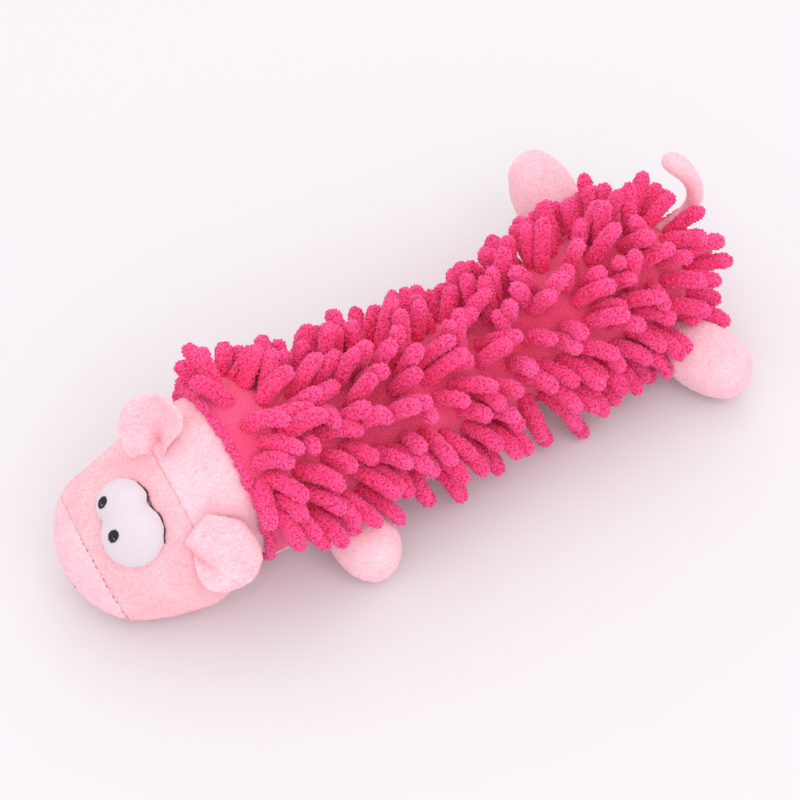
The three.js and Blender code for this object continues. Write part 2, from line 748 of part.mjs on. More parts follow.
// An ear's frame: Y along its hinge, Z out along the flap, X towards the back of the ear.
function earGroup(name, side, forward, earAngle, earTilt, lift) {
  const at = lengthAt(headSkin, -forward);
  const angle = side > 0 ? earAngle : Math.PI - earAngle;
  const normal = normalOn(headSkin, at, angle);
  const down = new THREE.Vector3(0, side * Math.sin(earAngle), -Math.cos(earAngle));
  const back = new THREE.Vector3(1, 0, 0);
  const flat = back.clone().multiplyScalar(Math.cos(earTilt)).addScaledVector(down, Math.sin(earTilt));
  const flap = flat.multiplyScalar(Math.cos(lift)).addScaledVector(normal, Math.sin(lift)).normalize();
  const hinge = normal.clone().cross(flap).normalize();
  const backOfEar = hinge.clone().cross(flap);
  const group = new THREE.Group();
  group.matrix.makeBasis(backOfEar, hinge, flap);
  group.matrix.setPosition(pointOn(headSkin, at, angle).addScaledVector(normal, earRootRadius + seamGap));
  group.matrix.decompose(group.position, group.quaternion, group.scale);
  group.add(namedMesh(name, solidOf(earTube()), plushPink, 0.95));
  return group;
}

// The eyes: one padded piece of two discs that run together, laid on the brow.
function eyeBall(side, grow) {
  const [forward, radius] = side < 0 ? [leftEyeForward, leftEyeRadius] : [rightEyeForward, rightEyeRadius];
  const at = lengthAt(headSkin, -forward);
  const angle = Math.acos((side * eyeHalfSpacing) / cheekHalfWidth);
  const normal = normalOn(headSkin, at, angle);
  const geometry = new THREE.SphereGeometry(1, ballSides, eyeRings).rotateX(Math.PI / 2);
  geometry.scale(radius + grow, radius + grow, eyeBulge + grow);
  const turn = new THREE.Quaternion().setFromUnitVectors(new THREE.Vector3(0, 0, 1), normal);
  geometry.applyQuaternion(turn);
  const centre = pointOn(headSkin, at, angle);
  return { solid: solidOf(geometry.translate(...centre)), centre, normal };
}

function eyePieces() {
  const head = solidOf(headTube(-seamGap));
  const both = eyeBall(-1, 0).solid.add(eyeBall(1, 0).solid);
  const pieces = [namedMesh('eye_pad', both.subtract(head), eyeWhite, 0.6)];
  [['left', -1], ['right', 1]].forEach(([name, side]) => {
    const { centre, normal } = eyeBall(side, 0);
    const other = eyeBall(-side, seamGap).solid;
    const post = new THREE.CylinderGeometry(pupilRadius, pupilRadius, headLength, patchSides);
    const forward = new THREE.Vector3(-1, 0, 0);
    const aside = new THREE.Vector3(0, 1, 0);
    const place = centre.clone().addScaledVector(forward, pupilForward).addScaledVector(aside, pupilAside);
    const turn = new THREE.Quaternion().setFromUnitVectors(new THREE.Vector3(0, 0, 1), normal);
    post.rotateX(Math.PI / 2).applyQuaternion(turn).translate(...place);
    const patch = eyeBall(side, seamGap + patchThickness).solid
      .subtract(eyeBall(side, seamGap).solid)
      .subtract(other)
      .subtract(head)
      .intersect(solidOf(post));
    pieces.push(namedMesh(`pupil_${name}`, patch, threadBlack, 0.5));
  });
  return pieces;
}

function nostril(name, side) {
  const post = new THREE.CylinderGeometry(nostrilRadius, nostrilRadius, headLength, patchSides);
  post.rotateZ(Math.PI / 2).translate(-headLength, side * nostrilHalfSpacing, 0);
  const patch = solidOf(headTube(-seamGap - patchThickness))
    .subtract(solidOf(headTube(-seamGap)))
    .intersect(solidOf(post));
  return namedMesh(name, patch, threadPink, 0.8);
}

function headGroup() {
  const group = new THREE.Group();
  group.position.set(-chestLength, 0, neckHeight);
  group.rotation.set(headRoll, -headPitch, headTurn, 'ZYX');
  const shell = aboveFloor(solidOf(headTube(0)).subtract(solidOf(headTube(plushThickness, overrun))), group);
  const crown = -crownSeamForward;
  const snout = -snoutSeamForward;
  const nape = shell.intersect(slab(floorReach, crown + seamGap / 2));
  const face = shell.intersect(slab(crown - seamGap / 2, snout + seamGap / 2));
  const panel = shell.intersect(slab(snout - seamGap / 2, -headLength - overrun));
  const fill = aboveFloor(solidOf(headFill(plushThickness + fillGap)), group);
  group.add(namedMesh('nape_cover', nape, plushPink, 0.95));
  group.add(namedMesh('face_cover', face, plushPink, 0.95));
  group.add(namedMesh('snout_panel', panel, plushPink, 0.95));
  group.add(namedMesh('head_stuffing', fill, fillWhite, 0.95));
  group.add(...eyePieces());
  group.add(nostril('nostril_left', -1), nostril('nostril_right', 1));
  group.add(earGroup('ear_left', -1, leftEarForward, leftEarAngle, leftEarTilt, leftEarLift));
  group.add(earGroup('ear_right', 1, rightEarForward, rightEarAngle, rightEarTilt, rightEarLift));
  return group;
}

// The whole toy, with its origin under the middle of its box.
const chest = chestGroup();
chest.add(headGroup());
const toy = new THREE.Group().add(chest, rumpGroup());
const box = new THREE.Box3().setFromObject(toy, true);
const centre = box.getCenter(new THREE.Vector3());
toy.position.set(-centre.x, -centre.y, -box.min.z);

export default new THREE.Group().add(toy);
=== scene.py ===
# A plush toy for dogs: a long pig that lies on its belly, with a body of noodle cloth, a pale plush head,
# legs and tail, padded eyes and a squeaker. Metres, +Z up, the floor at 0, the snout points to -X.

import json
import math

import bmesh
import bpy
import numpy as np
from mathutils import Matrix, Vector
from mathutils.bvhtree import BVHTree


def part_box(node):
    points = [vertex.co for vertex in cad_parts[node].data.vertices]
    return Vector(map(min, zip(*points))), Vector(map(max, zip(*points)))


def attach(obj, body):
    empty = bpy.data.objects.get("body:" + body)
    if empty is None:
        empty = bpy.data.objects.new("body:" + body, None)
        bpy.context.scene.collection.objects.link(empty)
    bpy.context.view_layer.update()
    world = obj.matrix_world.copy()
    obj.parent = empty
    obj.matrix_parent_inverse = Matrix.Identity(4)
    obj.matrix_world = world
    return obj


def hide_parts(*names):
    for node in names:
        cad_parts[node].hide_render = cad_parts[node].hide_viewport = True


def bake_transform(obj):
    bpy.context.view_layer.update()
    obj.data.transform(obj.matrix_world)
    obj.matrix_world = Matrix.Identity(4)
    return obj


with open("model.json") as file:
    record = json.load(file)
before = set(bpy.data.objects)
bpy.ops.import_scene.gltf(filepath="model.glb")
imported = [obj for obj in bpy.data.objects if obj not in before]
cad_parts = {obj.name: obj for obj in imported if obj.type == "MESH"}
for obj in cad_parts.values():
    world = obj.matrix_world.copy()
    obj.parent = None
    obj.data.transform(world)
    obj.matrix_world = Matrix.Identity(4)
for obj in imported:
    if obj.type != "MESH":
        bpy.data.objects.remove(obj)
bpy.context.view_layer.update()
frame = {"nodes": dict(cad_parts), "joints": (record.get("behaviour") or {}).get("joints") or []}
scene = bpy.context.scene
joints = {joint["name"]: joint["pos_m"] for joint in frame["joints"]}
waist = Vector(joints["waist_bend"])
neck = Vector(joints["neck_bend"])

# Camera: in front of the toy's left side and well above it, far enough away that the head and the rump
# come out at much the same scale.
CAMERA_TURN = math.radians(-34)
CAMERA_HEIGHT = math.radians(49)
CAMERA_DISTANCE = 0.95
CAMERA_FIELD = math.radians(20.4)
CAMERA_SHIFT = -0.0025
LOOK_FROM_WAIST = Vector((-0.03356, 0.00662, 0.025))

back = Vector((
    math.sin(CAMERA_TURN) * math.cos(CAMERA_HEIGHT),
    -math.cos(CAMERA_TURN) * math.cos(CAMERA_HEIGHT),
    math.sin(CAMERA_HEIGHT),
))
lens = bpy.data.cameras.new("camera")
lens.angle = CAMERA_FIELD
lens.shift_x = CAMERA_SHIFT
camera = bpy.data.objects.new("camera", lens)
camera.location = waist + LOOK_FROM_WAIST + back * CAMERA_DISTANCE
camera.rotation_euler = (-back).to_track_quat("-Z", "Y").to_euler()
scene.collection.objects.link(camera)
scene.camera = camera
scene.view_settings.view_transform = "Standard"

# Floor: a sheet of white paper, large enough to fill every view. The world shows white behind it and lights
# the toy from all round. A wide lamp above and behind the toy gives the soft shadow on its near side, and a
# wider one in front fills that shadow.
FLOOR_HALF = 3.0
FLOOR_BELOW = 0.0004
FLOOR_COLOUR = (0.792, 0.775, 0.797)
WORLD_COLOUR = (1.0, 0.985, 0.995, 1)
WORLD_STRENGTH = 1.02
# Each lamp: its name, place, width and power.
LAMPS = [("lamp_behind", Vector((0.62, 0.92, 1.5)), 1.3, 3.8), ("lamp_front", Vector((-0.35, -1.25, 1.35)), 1.6, 8.0)]


def new_finish(name, roughness, colour=(0.8, 0.8, 0.8)):
    """A material, its nodes and its shader."""
    material = bpy.data.materials.new(name)
    material.use_nodes = True
    shader = material.node_tree.nodes["Principled BSDF"]
    shader.inputs["Roughness"].default_value = roughness
    shader.inputs["Base Color"].default_value = (*colour, 1)
    return material, material.node_tree, shader


def add_node(tree, kind, inputs={}):
    """A shader node. What each input is given is a value, or an output of another node."""
    made = tree.nodes.new("ShaderNode" + kind)
    for name, given in inputs.items():
        if isinstance(given, bpy.types.NodeSocket):
            tree.links.new(given, made.inputs[name])
        else:
            made.inputs[name].default_value = given
    return made


bpy.ops.object.select_all(action="DESELECT")
bpy.ops.mesh.primitive_plane_add(size=2 * FLOOR_HALF, location=(0, 0, -FLOOR_BELOW))
floor = bpy.context.object
floor.name = "floor"
bpy.ops.object.transform_apply(location=True, rotation=True, scale=True)
paper, tree, shader = new_finish("floor_paper", 0.9, FLOOR_COLOUR)
shader.inputs["Specular IOR Level"].default_value = 0.1
floor.data.materials.append(paper)

world = bpy.data.worlds.new("studio")
world.use_nodes = True
sky = world.node_tree
background = sky.nodes["Background"]
background.inputs["Color"].default_value = WORLD_COLOUR
rays = add_node(sky, "LightPath")
seen = add_node(sky, "Math", {0: rays.outputs["Is Camera Ray"], 1: rays.outputs["Is Transmission Ray"]})
seen.operation = "MAXIMUM"
level = add_node(sky, "MapRange", {"Value": seen.outputs[0], "To Min": WORLD_STRENGTH, "To Max": 1.0})
sky.links.new(level.outputs["Result"], background.inputs["Strength"])
scene.world = world

for name, spot, width, power in LAMPS:
    lamp_data = bpy.data.lights.new(name, "AREA")
    lamp_data.size = width
    lamp_data.energy = power
    lamp = bpy.data.objects.new(name, lamp_data)
    lamp.location = spot
    lamp.rotation_euler = (-spot).to_track_quat("-Z", "Y").to_euler()
    scene.collection.objects.link(lamp)

# Body cloth: one tube of knitted ground cloth from the collar to the closed rump, stuffed tight and tied in
# at the waist, where it gathers into small pleats. Its lower part is the plush belly panel, sewn in along
# both sides.
CHEST_TURN = math.radians(-2)
RUMP_TURN = math.radians(5.2)
COLLAR_LEAN = math.tan(math.radians(6))
LEAN_FROM = 0.1095
LEAN_OVER = 0.0135
SEAM_ANGLE = math.radians(-28)
SEAM_SINK = 0.0006
SEAM_ALLOWANCE = 0.0035
BODY_AROUND = 96
BODY_STEP = 0.003
BODY_SLACK = 0.0008
BODY_SWELL = 0.0025
PLEATS = 15
PLEAT_DEPTH = 0.0011
PLEAT_REACH = 0.007
FLOOR_GAP = 0.0002
CLOTH_STIFFNESS = 12
CLOTH_FRAMES = 20
KNIT_ROUND = 0.19
KNIT_START = 0.13
KNIT_PINK = (1.0, 0.170, 0.380)
KNIT_DEEP = (1.0, 0.110, 0.290)
# Painted shade in the gaps between the knit's loops, where its grain is low.
KNIT_GAP_SHADE = (1.0, 0.45, 0.58)
KNIT_SHEEN = (1.0, 0.55, 0.72)
# Each row: distance along from the waist, half width, half height and height of the middle.
BODY_ROWS = np.array([
    (-0.1230, 0.0395, 0.0382, 0.0386), (-0.1095, 0.0390, 0.0390, 0.0381), (-0.0959, 0.0347, 0.0341, 0.0334),
    (-0.0738, 0.0315, 0.0305, 0.0300), (-0.0443, 0.0307, 0.0299, 0.0298), (-0.0185, 0.0279, 0.0275, 0.0290),
    (0.0000, 0.0258, 0.0258, 0.0285), (0.0130, 0.0262, 0.0261, 0.0286), (0.0235, 0.0276, 0.0274, 0.0289),
    (0.0380, 0.0298, 0.0294, 0.0294), (0.0560, 0.0305, 0.0300, 0.0295), (0.0728, 0.0305, 0.0300, 0.0295),
    (0.0850, 0.0305, 0.0300, 0.0295), (0.0933, 0.0302, 0.0297, 0.0295), (0.0992, 0.0277, 0.0272, 0.0295),
    (0.1058, 0.0212, 0.0208, 0.0295), (0.1102, 0.0120, 0.0118, 0.0295), (0.1118, 0.0040, 0.0040, 0.0295),
])
HALF_WIDTH, HALF_HEIGHT, MIDDLE = 1, 2, 3
COLLAR = BODY_ROWS[0, 0]
RUMP_STATIONS = [0.0962, 0.0992, 0.1025, 0.1058, 0.1085, 0.1102, 0.1113, 0.1118]


def body_size(along, column, **ends):
    """The half width, half height or middle's height of the body, at a distance along it from the waist."""
    return np.interp(along, BODY_ROWS[:, 0], BODY_ROWS[:, column], **ends)


def body_ring(along, angles):
    """The points of the body's skin at a distance along it from the waist."""
    pleat = PLEAT_DEPTH * math.exp(-(along / PLEAT_REACH) ** 2) * np.cos(PLEATS * angles)
    above = (body_size(along, HALF_HEIGHT) + pleat) * np.sin(angles)
    aside = (body_size(along, HALF_WIDTH) + pleat) * np.cos(angles)
    lean = COLLAR_LEAN * min(1, max(0, (-along - LEAN_FROM) / LEAN_OVER))
    turn = CHEST_TURN if along < 0 else RUMP_TURN
    length = along - lean * above
    return np.stack([
        waist.x + length * math.cos(turn) - aside * math.sin(turn),
        waist.y + length * math.sin(turn) + aside * math.cos(turn),
        body_size(along, MIDDLE) + above,
    ], axis=-1)


def tube_faces(rings, around, closed=True):
    """The faces of a tube made of rings of points, with or without its two ends."""
    faces = [
        (ring * around + i, ring * around + (i + 1) % around,
         (ring + 1) * around + (i + 1) % around, (ring + 1) * around + i)
        for ring in range(rings - 1) for i in range(around)
    ]
    if closed:
        faces += [tuple(reversed(range(around))), tuple(range((rings - 1) * around, rings * around))]
    return faces


def placed(name, mesh):
    piece = bpy.data.objects.new(name, mesh)
    scene.collection.objects.link(piece)
    mesh.shade_smooth()
    return piece


def new_piece(name, points, faces):
    """A mesh object from points and faces, at the origin."""
    mesh = bpy.data.meshes.new(name)
    mesh.from_pydata([tuple(p) for p in points], [], [tuple(int(i) for i in f) for f in faces])
    mesh.update()
    return placed(name, mesh)


def edited(piece):
    data = bmesh.new()
    data.from_mesh(piece.data)
    return data


def put_back(data, mesh):
    data.to_mesh(mesh)
    data.free()


def piece_from(data, name):
    mesh = bpy.data.meshes.new(name)
    put_back(data, mesh)
    return placed(name, mesh)


def face_outwards(piece):
    data = edited(piece)
    bmesh.ops.recalc_face_normals(data, faces=data.faces)
    put_back(data, piece.data)


def points_of(piece, kind="co"):
    points = np.empty(len(piece.data.vertices) * 3)
    piece.data.vertices.foreach_get(kind, points)
    return points.reshape(-1, 3)


def normals_of(piece):
    return points_of(piece, "normal")


def move_points(piece, points):
    """Moves a piece's points. They stop at the floor, where the toy's own weight presses it flat."""
    rested = np.array(points, float)
    rested[:, 2] = np.maximum(rested[:, 2], FLOOR_GAP)
    piece.data.vertices.foreach_set("co", rested.ravel())
    piece.data.update()


def select_only(pieces):
    bpy.ops.object.select_all(action="DESELECT")
    for piece in pieces:
        piece.select_set(True)
    bpy.context.view_layer.objects.active = pieces[0]


def apply_modifiers(piece):
    select_only([piece])
    for modifier in list(piece.modifiers):
        bpy.ops.object.modifier_apply(modifier=modifier.name)


def stuff(piece, pressure, swell, held=None):
    """Blows a cover up from inside as its fill does, and lets no point go further than swell."""
    before = points_of(piece)
    cloth = piece.modifiers.new("fill", "CLOTH")
    cloth.settings.quality = 5
    cloth.settings.mass = 0.3
    cloth.settings.tension_stiffness = CLOTH_STIFFNESS
    cloth.settings.compression_stiffness = CLOTH_STIFFNESS
    cloth.settings.shear_stiffness = CLOTH_STIFFNESS / 2
    cloth.settings.bending_stiffness = 0.4
    cloth.settings.use_pressure = True
    cloth.settings.uniform_pressure_force = pressure
    cloth.settings.effector_weights.gravity = 0
    cloth.collision_settings.use_collision = False
    if held is not None:
        group = piece.vertex_groups.new(name="held")
        group.add([int(i) for i in np.nonzero(held)[0]], 1.0, "REPLACE")
        cloth.settings.vertex_group_mass = "held"
    cloth.point_cache.frame_start = 1
    cloth.point_cache.frame_end = CLOTH_FRAMES
    for number in range(1, CLOTH_FRAMES + 1):
        scene.frame_set(number)
    apply_modifiers(piece)
    piece.vertex_groups.clear()
    moved = points_of(piece) - before
    far = np.linalg.norm(moved, axis=1, keepdims=True)
    moved *= np.minimum(1, swell / np.maximum(far, 1e-9))
    move_points(piece, before + moved)
    scene.frame_set(1)


def subdivide(piece):
    finer = piece.modifiers.new("finer", "SUBSURF")
    finer.levels = finer.render_levels = 1
    apply_modifiers(piece)
    move_points(piece, points_of(piece))


def tint(tree, shader, pattern, colour):
    """Multiplies a cloth's colour by a tint, as far as a pattern says. Every tint in this script is painted shade."""
    over = add_node(tree, "MixRGB", {
        "Fac": pattern, "Color1": shader.inputs["Base Color"].links[0].from_socket, "Color2": (*colour, 1)})
    over.blend_type = "MULTIPLY"
    tree.links.new(over.outputs["Color"], shader.inputs["Base Color"])


def falling(tree, pattern, low=0.0, high=1.0):
    """1 where a pattern is low, and less up to 0 where it is high."""
    return add_node(tree, "MapRange", {
        "Value": pattern, "From Min": low, "From Max": high, "To Min": 1.0, "To Max": 0.0}).outputs["Result"]


def add_grain(tree, shader, height, depth, strength):
    """Raises the surface by a pattern."""
    bump = add_node(tree, "Bump", {"Height": height, "Distance": depth, "Strength": strength})
    tree.links.new(bump.outputs["Normal"], shader.inputs["Normal"])


def pale_and_deep(name, pale, deep, patch_size, roughness, sheen, sheen_tint, painted_shade=(1, 1, 1)):
    """A cloth whose colour drifts between a pale and a deep tone, and takes painted shade where its "tip" attribute
    is low, at the foot of its tufts and along low "reach".
    """
    material, tree, shader = new_finish(name, roughness)
    shader.inputs["Specular IOR Level"].default_value = 0.25
    shader.inputs["Sheen Weight"].default_value = sheen
    shader.inputs["Sheen Roughness"].default_value = 0.45
    shader.inputs["Sheen Tint"].default_value = (*sheen_tint, 1)
    place = add_node(tree, "TexCoord").outputs["Object"]
    drift = add_node(tree, "TexNoise", {"Vector": place, "Scale": 1 / patch_size, "Detail": 4})
    tones = add_node(tree, "ValToRGB", {"Fac": drift.outputs["Fac"]})
    for stop, position, colour in zip(tones.color_ramp.elements, (0.3, 0.7), (deep, pale)):
        stop.position = position
        stop.color = (*colour, 1)
    tree.links.new(tones.outputs["Color"], shader.inputs["Base Color"])
    # Painted shade: the colour is darker where the "tip" attribute is low.
    raised = add_node(tree, "Attribute")
    raised.attribute_name = "tip"
    tint(tree, shader, falling(tree, raised.outputs["Fac"]), painted_shade)
    return material, tree, shader, place


angles = (np.arange(BODY_AROUND) + 0.5) / BODY_AROUND * 2 * math.pi - math.pi / 2
stations = np.concatenate([np.arange(COLLAR, 0.0935, BODY_STEP), RUMP_STATIONS])
rings = np.array([body_ring(station, angles) for station in stations])
rows = len(stations)
skin_points = np.concatenate([rings.reshape(-1, 3), rings[-1:].mean(axis=1)])
skin_faces = tube_faces(rows, BODY_AROUND, closed=False) + [
    ((rows - 1) * BODY_AROUND + i, (rows - 1) * BODY_AROUND + (i + 1) % BODY_AROUND, rows * BODY_AROUND)
    for i in range(BODY_AROUND)
]
body_skin = new_piece("body_skin", skin_points, skin_faces)
face_outwards(body_skin)
move_points(body_skin, skin_points - normals_of(body_skin) * BODY_SLACK)
tied = np.zeros(len(skin_points), bool)
for row, station in enumerate(stations):
    if abs(station) < BODY_STEP or row < 2:
        tied[row * BODY_AROUND:(row + 1) * BODY_AROUND] = True
tied[-1:] = True
stuff(body_skin, pressure=4, swell=BODY_SWELL, held=tied)
knit_map = body_skin.data.uv_layers.new(name="knit")
for face in body_skin.data.polygons:
    vertices = [body_skin.data.loops[corner].vertex_index for corner in face.loop_indices]
    last_column = any(vertex % BODY_AROUND == BODY_AROUND - 1 for vertex in vertices)
    for corner, vertex in zip(face.loop_indices, vertices):
        row, i = divmod(min(vertex, rows * BODY_AROUND - 1), BODY_AROUND)
        if i == 0 and last_column:
            i = BODY_AROUND
        knit_map.data[corner].uv = (i / BODY_AROUND * KNIT_ROUND, stations[row] + KNIT_START)
subdivide(body_skin)


def turn_in(data):
    """Turns every open rim inwards, as the cloth is at a seam."""
    rim = [edge for edge in data.edges if edge.is_boundary]
    normals = {vertex: vertex.normal.copy() for edge in rim for vertex in edge.verts}
    made = bmesh.ops.extrude_edge_only(data, edges=rim)["geom"]
    for vertex in [item for item in made if isinstance(item, bmesh.types.BMVert)]:
        source = next(edge.other_vert(vertex) for edge in vertex.link_edges if edge.other_vert(vertex) in normals)
        vertex.co = source.co - normals[source] * SEAM_ALLOWANCE
    for source, normal in normals.items():
        source.co -= normal * SEAM_SINK


def part_of(whole, name, keep):
    """A copy of the faces of a skin whose middle passes a test, with its rim turned in at the seam."""
    data = edited(whole)
    data.normal_update()
    bmesh.ops.delete(data, geom=[f for f in data.faces if not keep(f.calc_center_median())], context="FACES")
    turn_in(data)
    return piece_from(data, name)


def above_side_seam(point):
    """Whether a point lies above the side seams, by its angle round the body from the far side."""
    along = point.x - waist.x
    turn = CHEST_TURN if along < 0 else RUMP_TURN
    aside = -along * math.sin(turn) + (point.y - waist.y) * math.cos(turn)
    angle = math.atan2(point.z - float(body_size(along, MIDDLE)), aside)
    return angle > SEAM_ANGLE or angle < -math.pi - SEAM_ANGLE


ground_cloth = part_of(body_skin, "ground_cloth", above_side_seam)
belly_panel = part_of(body_skin, "belly_panel", lambda point: not above_side_seam(point))
bpy.data.objects.remove(body_skin)

knit, tree, shader, place = pale_and_deep(
    "knitted_ground", KNIT_PINK, KNIT_DEEP, patch_size=0.02, roughness=0.85, sheen=0.5, sheen_tint=KNIT_SHEEN)
rows_of_knit = add_node(tree, "TexCoord").outputs["UV"]
ribs = []
for slope, size in ((52, 300), (-38, 340)):
    turned = add_node(tree, "Mapping", {"Vector": rows_of_knit, "Rotation": (0, 0, math.radians(slope))})
    wave = add_node(tree, "TexWave", {"Vector": turned.outputs["Vector"], "Scale": size, "Distortion": 1.0})
    ribs.append(wave.outputs["Fac"])
loops = add_node(tree, "Math", {0: ribs[0], 1: ribs[1]})
loops.operation = "MULTIPLY"
add_grain(tree, shader, loops.outputs[0], depth=0.0006, strength=0.9)
# Painted shade: the knit is darker in the gaps between its loops, where the grain is low.
tint(tree, shader, falling(tree, loops.outputs[0]), KNIT_GAP_SHADE)
ground_cloth.data.materials.append(knit)

PLUSH_PALE = (0.965, 0.670, 0.735)
PLUSH_DEEP = (0.960, 0.585, 0.665)
# Painted shade in the partings of the pile.
PLUSH_PARTING_SHADE = (0.985, 0.885, 0.905)
PLUSH_SHEEN = (1.0, 0.86, 0.90)


def short_plush(name, pale, deep, patch_size, painted_shade=(1, 1, 1)):
    """Plush whose pile lies in strokes, as a hand that passes over it leaves it, with painted shade in the partings
    between the strokes.
    """
    material, tree, shader, place = pale_and_deep(name, pale, deep, patch_size, 0.9, 0.55, PLUSH_SHEEN, painted_shade)
    stretched = add_node(tree, "Mapping", {
        "Vector": place, "Rotation": (0, math.radians(-20), math.radians(25)), "Scale": (260, 1100, 1100)})
    pile = add_node(tree, "TexNoise", {"Vector": stretched.outputs["Vector"], "Scale": 1, "Detail": 3})
    # Painted shade in the pile's partings, where the strokes' grain is low.
    tint(tree, shader, falling(tree, pile.outputs["Fac"], 0.42, 0.62), PLUSH_PARTING_SHADE)
    add_grain(tree, shader, pile.outputs["Fac"], depth=0.0005, strength=0.3)
    return material


plush = short_plush("short_plush", PLUSH_PALE, PLUSH_DEEP, patch_size=0.014)
belly_panel.data.materials.append(plush)

tuft_random = np.random.default_rng(7)


def unit(vectors):
    return vectors / np.maximum(np.linalg.norm(vectors, axis=-1, keepdims=True), 1e-9)


def add_tufts(piece, spacing, height, radius, lean, sweep=(0, 0, 0), above=0, even=False):
    """Sets small tufts all over a piece, each a spike of three sides on a closed foot, but none lower than
    above. Their feet carry painted shade unless they are even, and so does every place where the piece's "reach" is
    low; their "tip" attribute carries it to the finish."""
    mesh = piece.data
    mesh.calc_loop_triangles()
    corners = np.array([t.vertices for t in mesh.loop_triangles])
    points, normals = points_of(piece), normals_of(piece)
    a, b, c = (points[corners[:, k]] for k in range(3))
    area = np.linalg.norm(np.cross(b - a, c - a), axis=1) / 2
    reach = np.ones(len(points))
    if "reach" in mesh.attributes:
        mesh.attributes["reach"].data.foreach_get("value", reach)
    count = int(area.sum() / spacing ** 2)
    chosen = corners[tuft_random.choice(len(corners), count, p=area / area.sum())]
    u, v = tuft_random.random(count), tuft_random.random(count)
    u, v = np.where(u + v > 1, 1 - u, u), np.where(u + v > 1, 1 - v, v)
    weight = np.stack([1 - u - v, u, v], axis=1)[:, :, None]
    spots = (points[chosen] * weight).sum(axis=1)
    kept = spots[:, 2] > above
    spots, upright = spots[kept], unit((normals[chosen] * weight).sum(axis=1))[kept]
    here = (reach[chosen] * weight[:, :, 0]).sum(axis=1)[kept]
    count = len(spots)
    slant = tuft_random.normal(size=(count, 3)) * lean + np.array(sweep)
    slant -= upright * (slant * upright).sum(axis=1, keepdims=True)
    first = unit(np.cross(upright, tuft_random.normal(size=(count, 3))))
    second = np.cross(upright, first)
    size = 0.75 + 0.5 * tuft_random.random((count, 1))
    feet = [
        spots - upright * radius * 0.4
        + (first * math.cos(turn) + second * math.sin(turn)) * radius * size
        for turn in (0, 2 * math.pi / 3, 4 * math.pi / 3)
    ]
    tufts = np.stack([*feet, spots + unit(upright + slant) * height * size], axis=1).reshape(-1, 3)
    foot = (np.arange(count) * 4 + len(points))[:, None]
    sides = np.concatenate([foot + np.array(side) for side in ((0, 1, 3), (1, 2, 3), (2, 0, 3), (2, 1, 0))])
    old_faces = [tuple(face.vertices) for face in mesh.polygons]
    grown = bpy.data.meshes.new(mesh.name)
    grown.from_pydata(
        [tuple(p) for p in np.concatenate([points, tufts])], [], old_faces + [tuple(f) for f in sides.tolist()])
    grown.update()
    if mesh.uv_layers:
        laid = np.empty(len(mesh.loops) * 2)
        mesh.uv_layers[0].data.foreach_get("uv", laid)
        layer = grown.uv_layers.new(name=mesh.uv_layers[0].name)
        layer.data.foreach_set("uv", np.concatenate([laid, np.zeros(len(sides) * 6)]))
    for material in mesh.materials:
        grown.materials.append(material)
    grown.polygons.foreach_set("use_smooth", [True] * len(old_faces) + [False] * len(sides))
    # The "tip" attribute: low at the feet and where "reach" is low, which the finish turns into painted shade.
    if even:
        share = np.concatenate([reach, np.repeat(here, 4)])
    else:
        tuft_light_share = np.stack([0.45 * here] * 3 + [0.45 + 0.55 * here], axis=1)
        share = np.concatenate([0.1 + 0.3 * reach, tuft_light_share.ravel()])
    grown.attributes.new("tip", "FLOAT", "POINT").data.foreach_set("value", share)
    piece.data = grown
    bpy.data.meshes.remove(mesh)


add_tufts(
    belly_panel, spacing=0.0014, height=0.00035, radius=0.0005, lean=0.4, sweep=(0.6, 0, 0), above=0.002)
for panel in (ground_cloth, belly_panel):
    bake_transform(panel)
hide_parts("chest_noodle_cover", "rump_noodle_cover")
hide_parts("chest_belly_panel", "rump_belly_panel")

# Legs: stubby bags of the same plush, each closed round a wad of fibre fill. Each is caught in the side seam
# by its narrow root.
LEG_GROW = 0.0022
LEG_VOXEL = 0.0028
LEG_SWELL = 0.0022
LEG_LONGER = 1.02
FILL_ROOM = 0.0008
PLUSH_ABOVE = 0.001


def even_out(piece, voxel, rounds):
    """Makes a piece's mesh anew with even faces, and softens it."""
    even = piece.modifiers.new("even", "REMESH")
    even.mode = "VOXEL"
    even.voxel_size = voxel
    soften(piece, rounds)
    piece.data.shade_smooth()


def soften(piece, rounds):
    soft = piece.modifiers.new("soft", "SMOOTH")
    soft.factor = 0.5
    soft.iterations = rounds
    apply_modifiers(piece)


def tree_of(piece, moved=Matrix.Identity(4)):
    """A piece's surface, in which the place next to a point can be found."""
    return BVHTree.FromPolygons(
        [moved @ Vector(p) for p in points_of(piece)], [tuple(face.vertices) for face in piece.data.polygons])


def cover_over(name, node, grow, voxel):
    """A closed cover that lies over a CAD solid: its copy, let out all round and remeshed evenly."""
    data = edited(frame["nodes"][node])
    bmesh.ops.remove_doubles(data, verts=data.verts, dist=1e-5)
    bmesh.ops.recalc_face_normals(data, faces=data.faces)
    data.normal_update()
    for vertex in data.verts:
        vertex.co += vertex.normal * grow
    piece = piece_from(data, name)
    even_out(piece, voxel, 6)
    move_points(piece, points_of(piece))
    return piece


def clear_of_fill(cover, node):
    """Moves a cover out of the wad of fill below it, first its own points, then its faces near the wad's
    corners."""
    fill = frame["nodes"][node]
    wad = tree_of(fill)
    for turn in range(2):
        points = points_of(cover)
        for i, point in enumerate(points):
            spot, normal = wad.find_nearest(Vector(point))[:2]
            if (Vector(point) - spot).dot(normal) < FILL_ROOM:
                points[i] = spot + normal * FILL_ROOM
        move_points(cover, points)
        if turn == 0:
            soften(cover, 3)
    for turn in range(4):
        skin = tree_of(cover)
        further = np.zeros(len(cover.data.vertices))
        for vertex in fill.data.vertices:
            spot, normal, index = skin.find_nearest(vertex.co)[:3]
            short = (vertex.co - spot).dot(normal) + FILL_ROOM / 2
            for i in cover.data.polygons[index].vertices:
                further[i] = max(further[i], short)
        move_points(cover, points_of(cover) + normals_of(cover) * further[:, None])


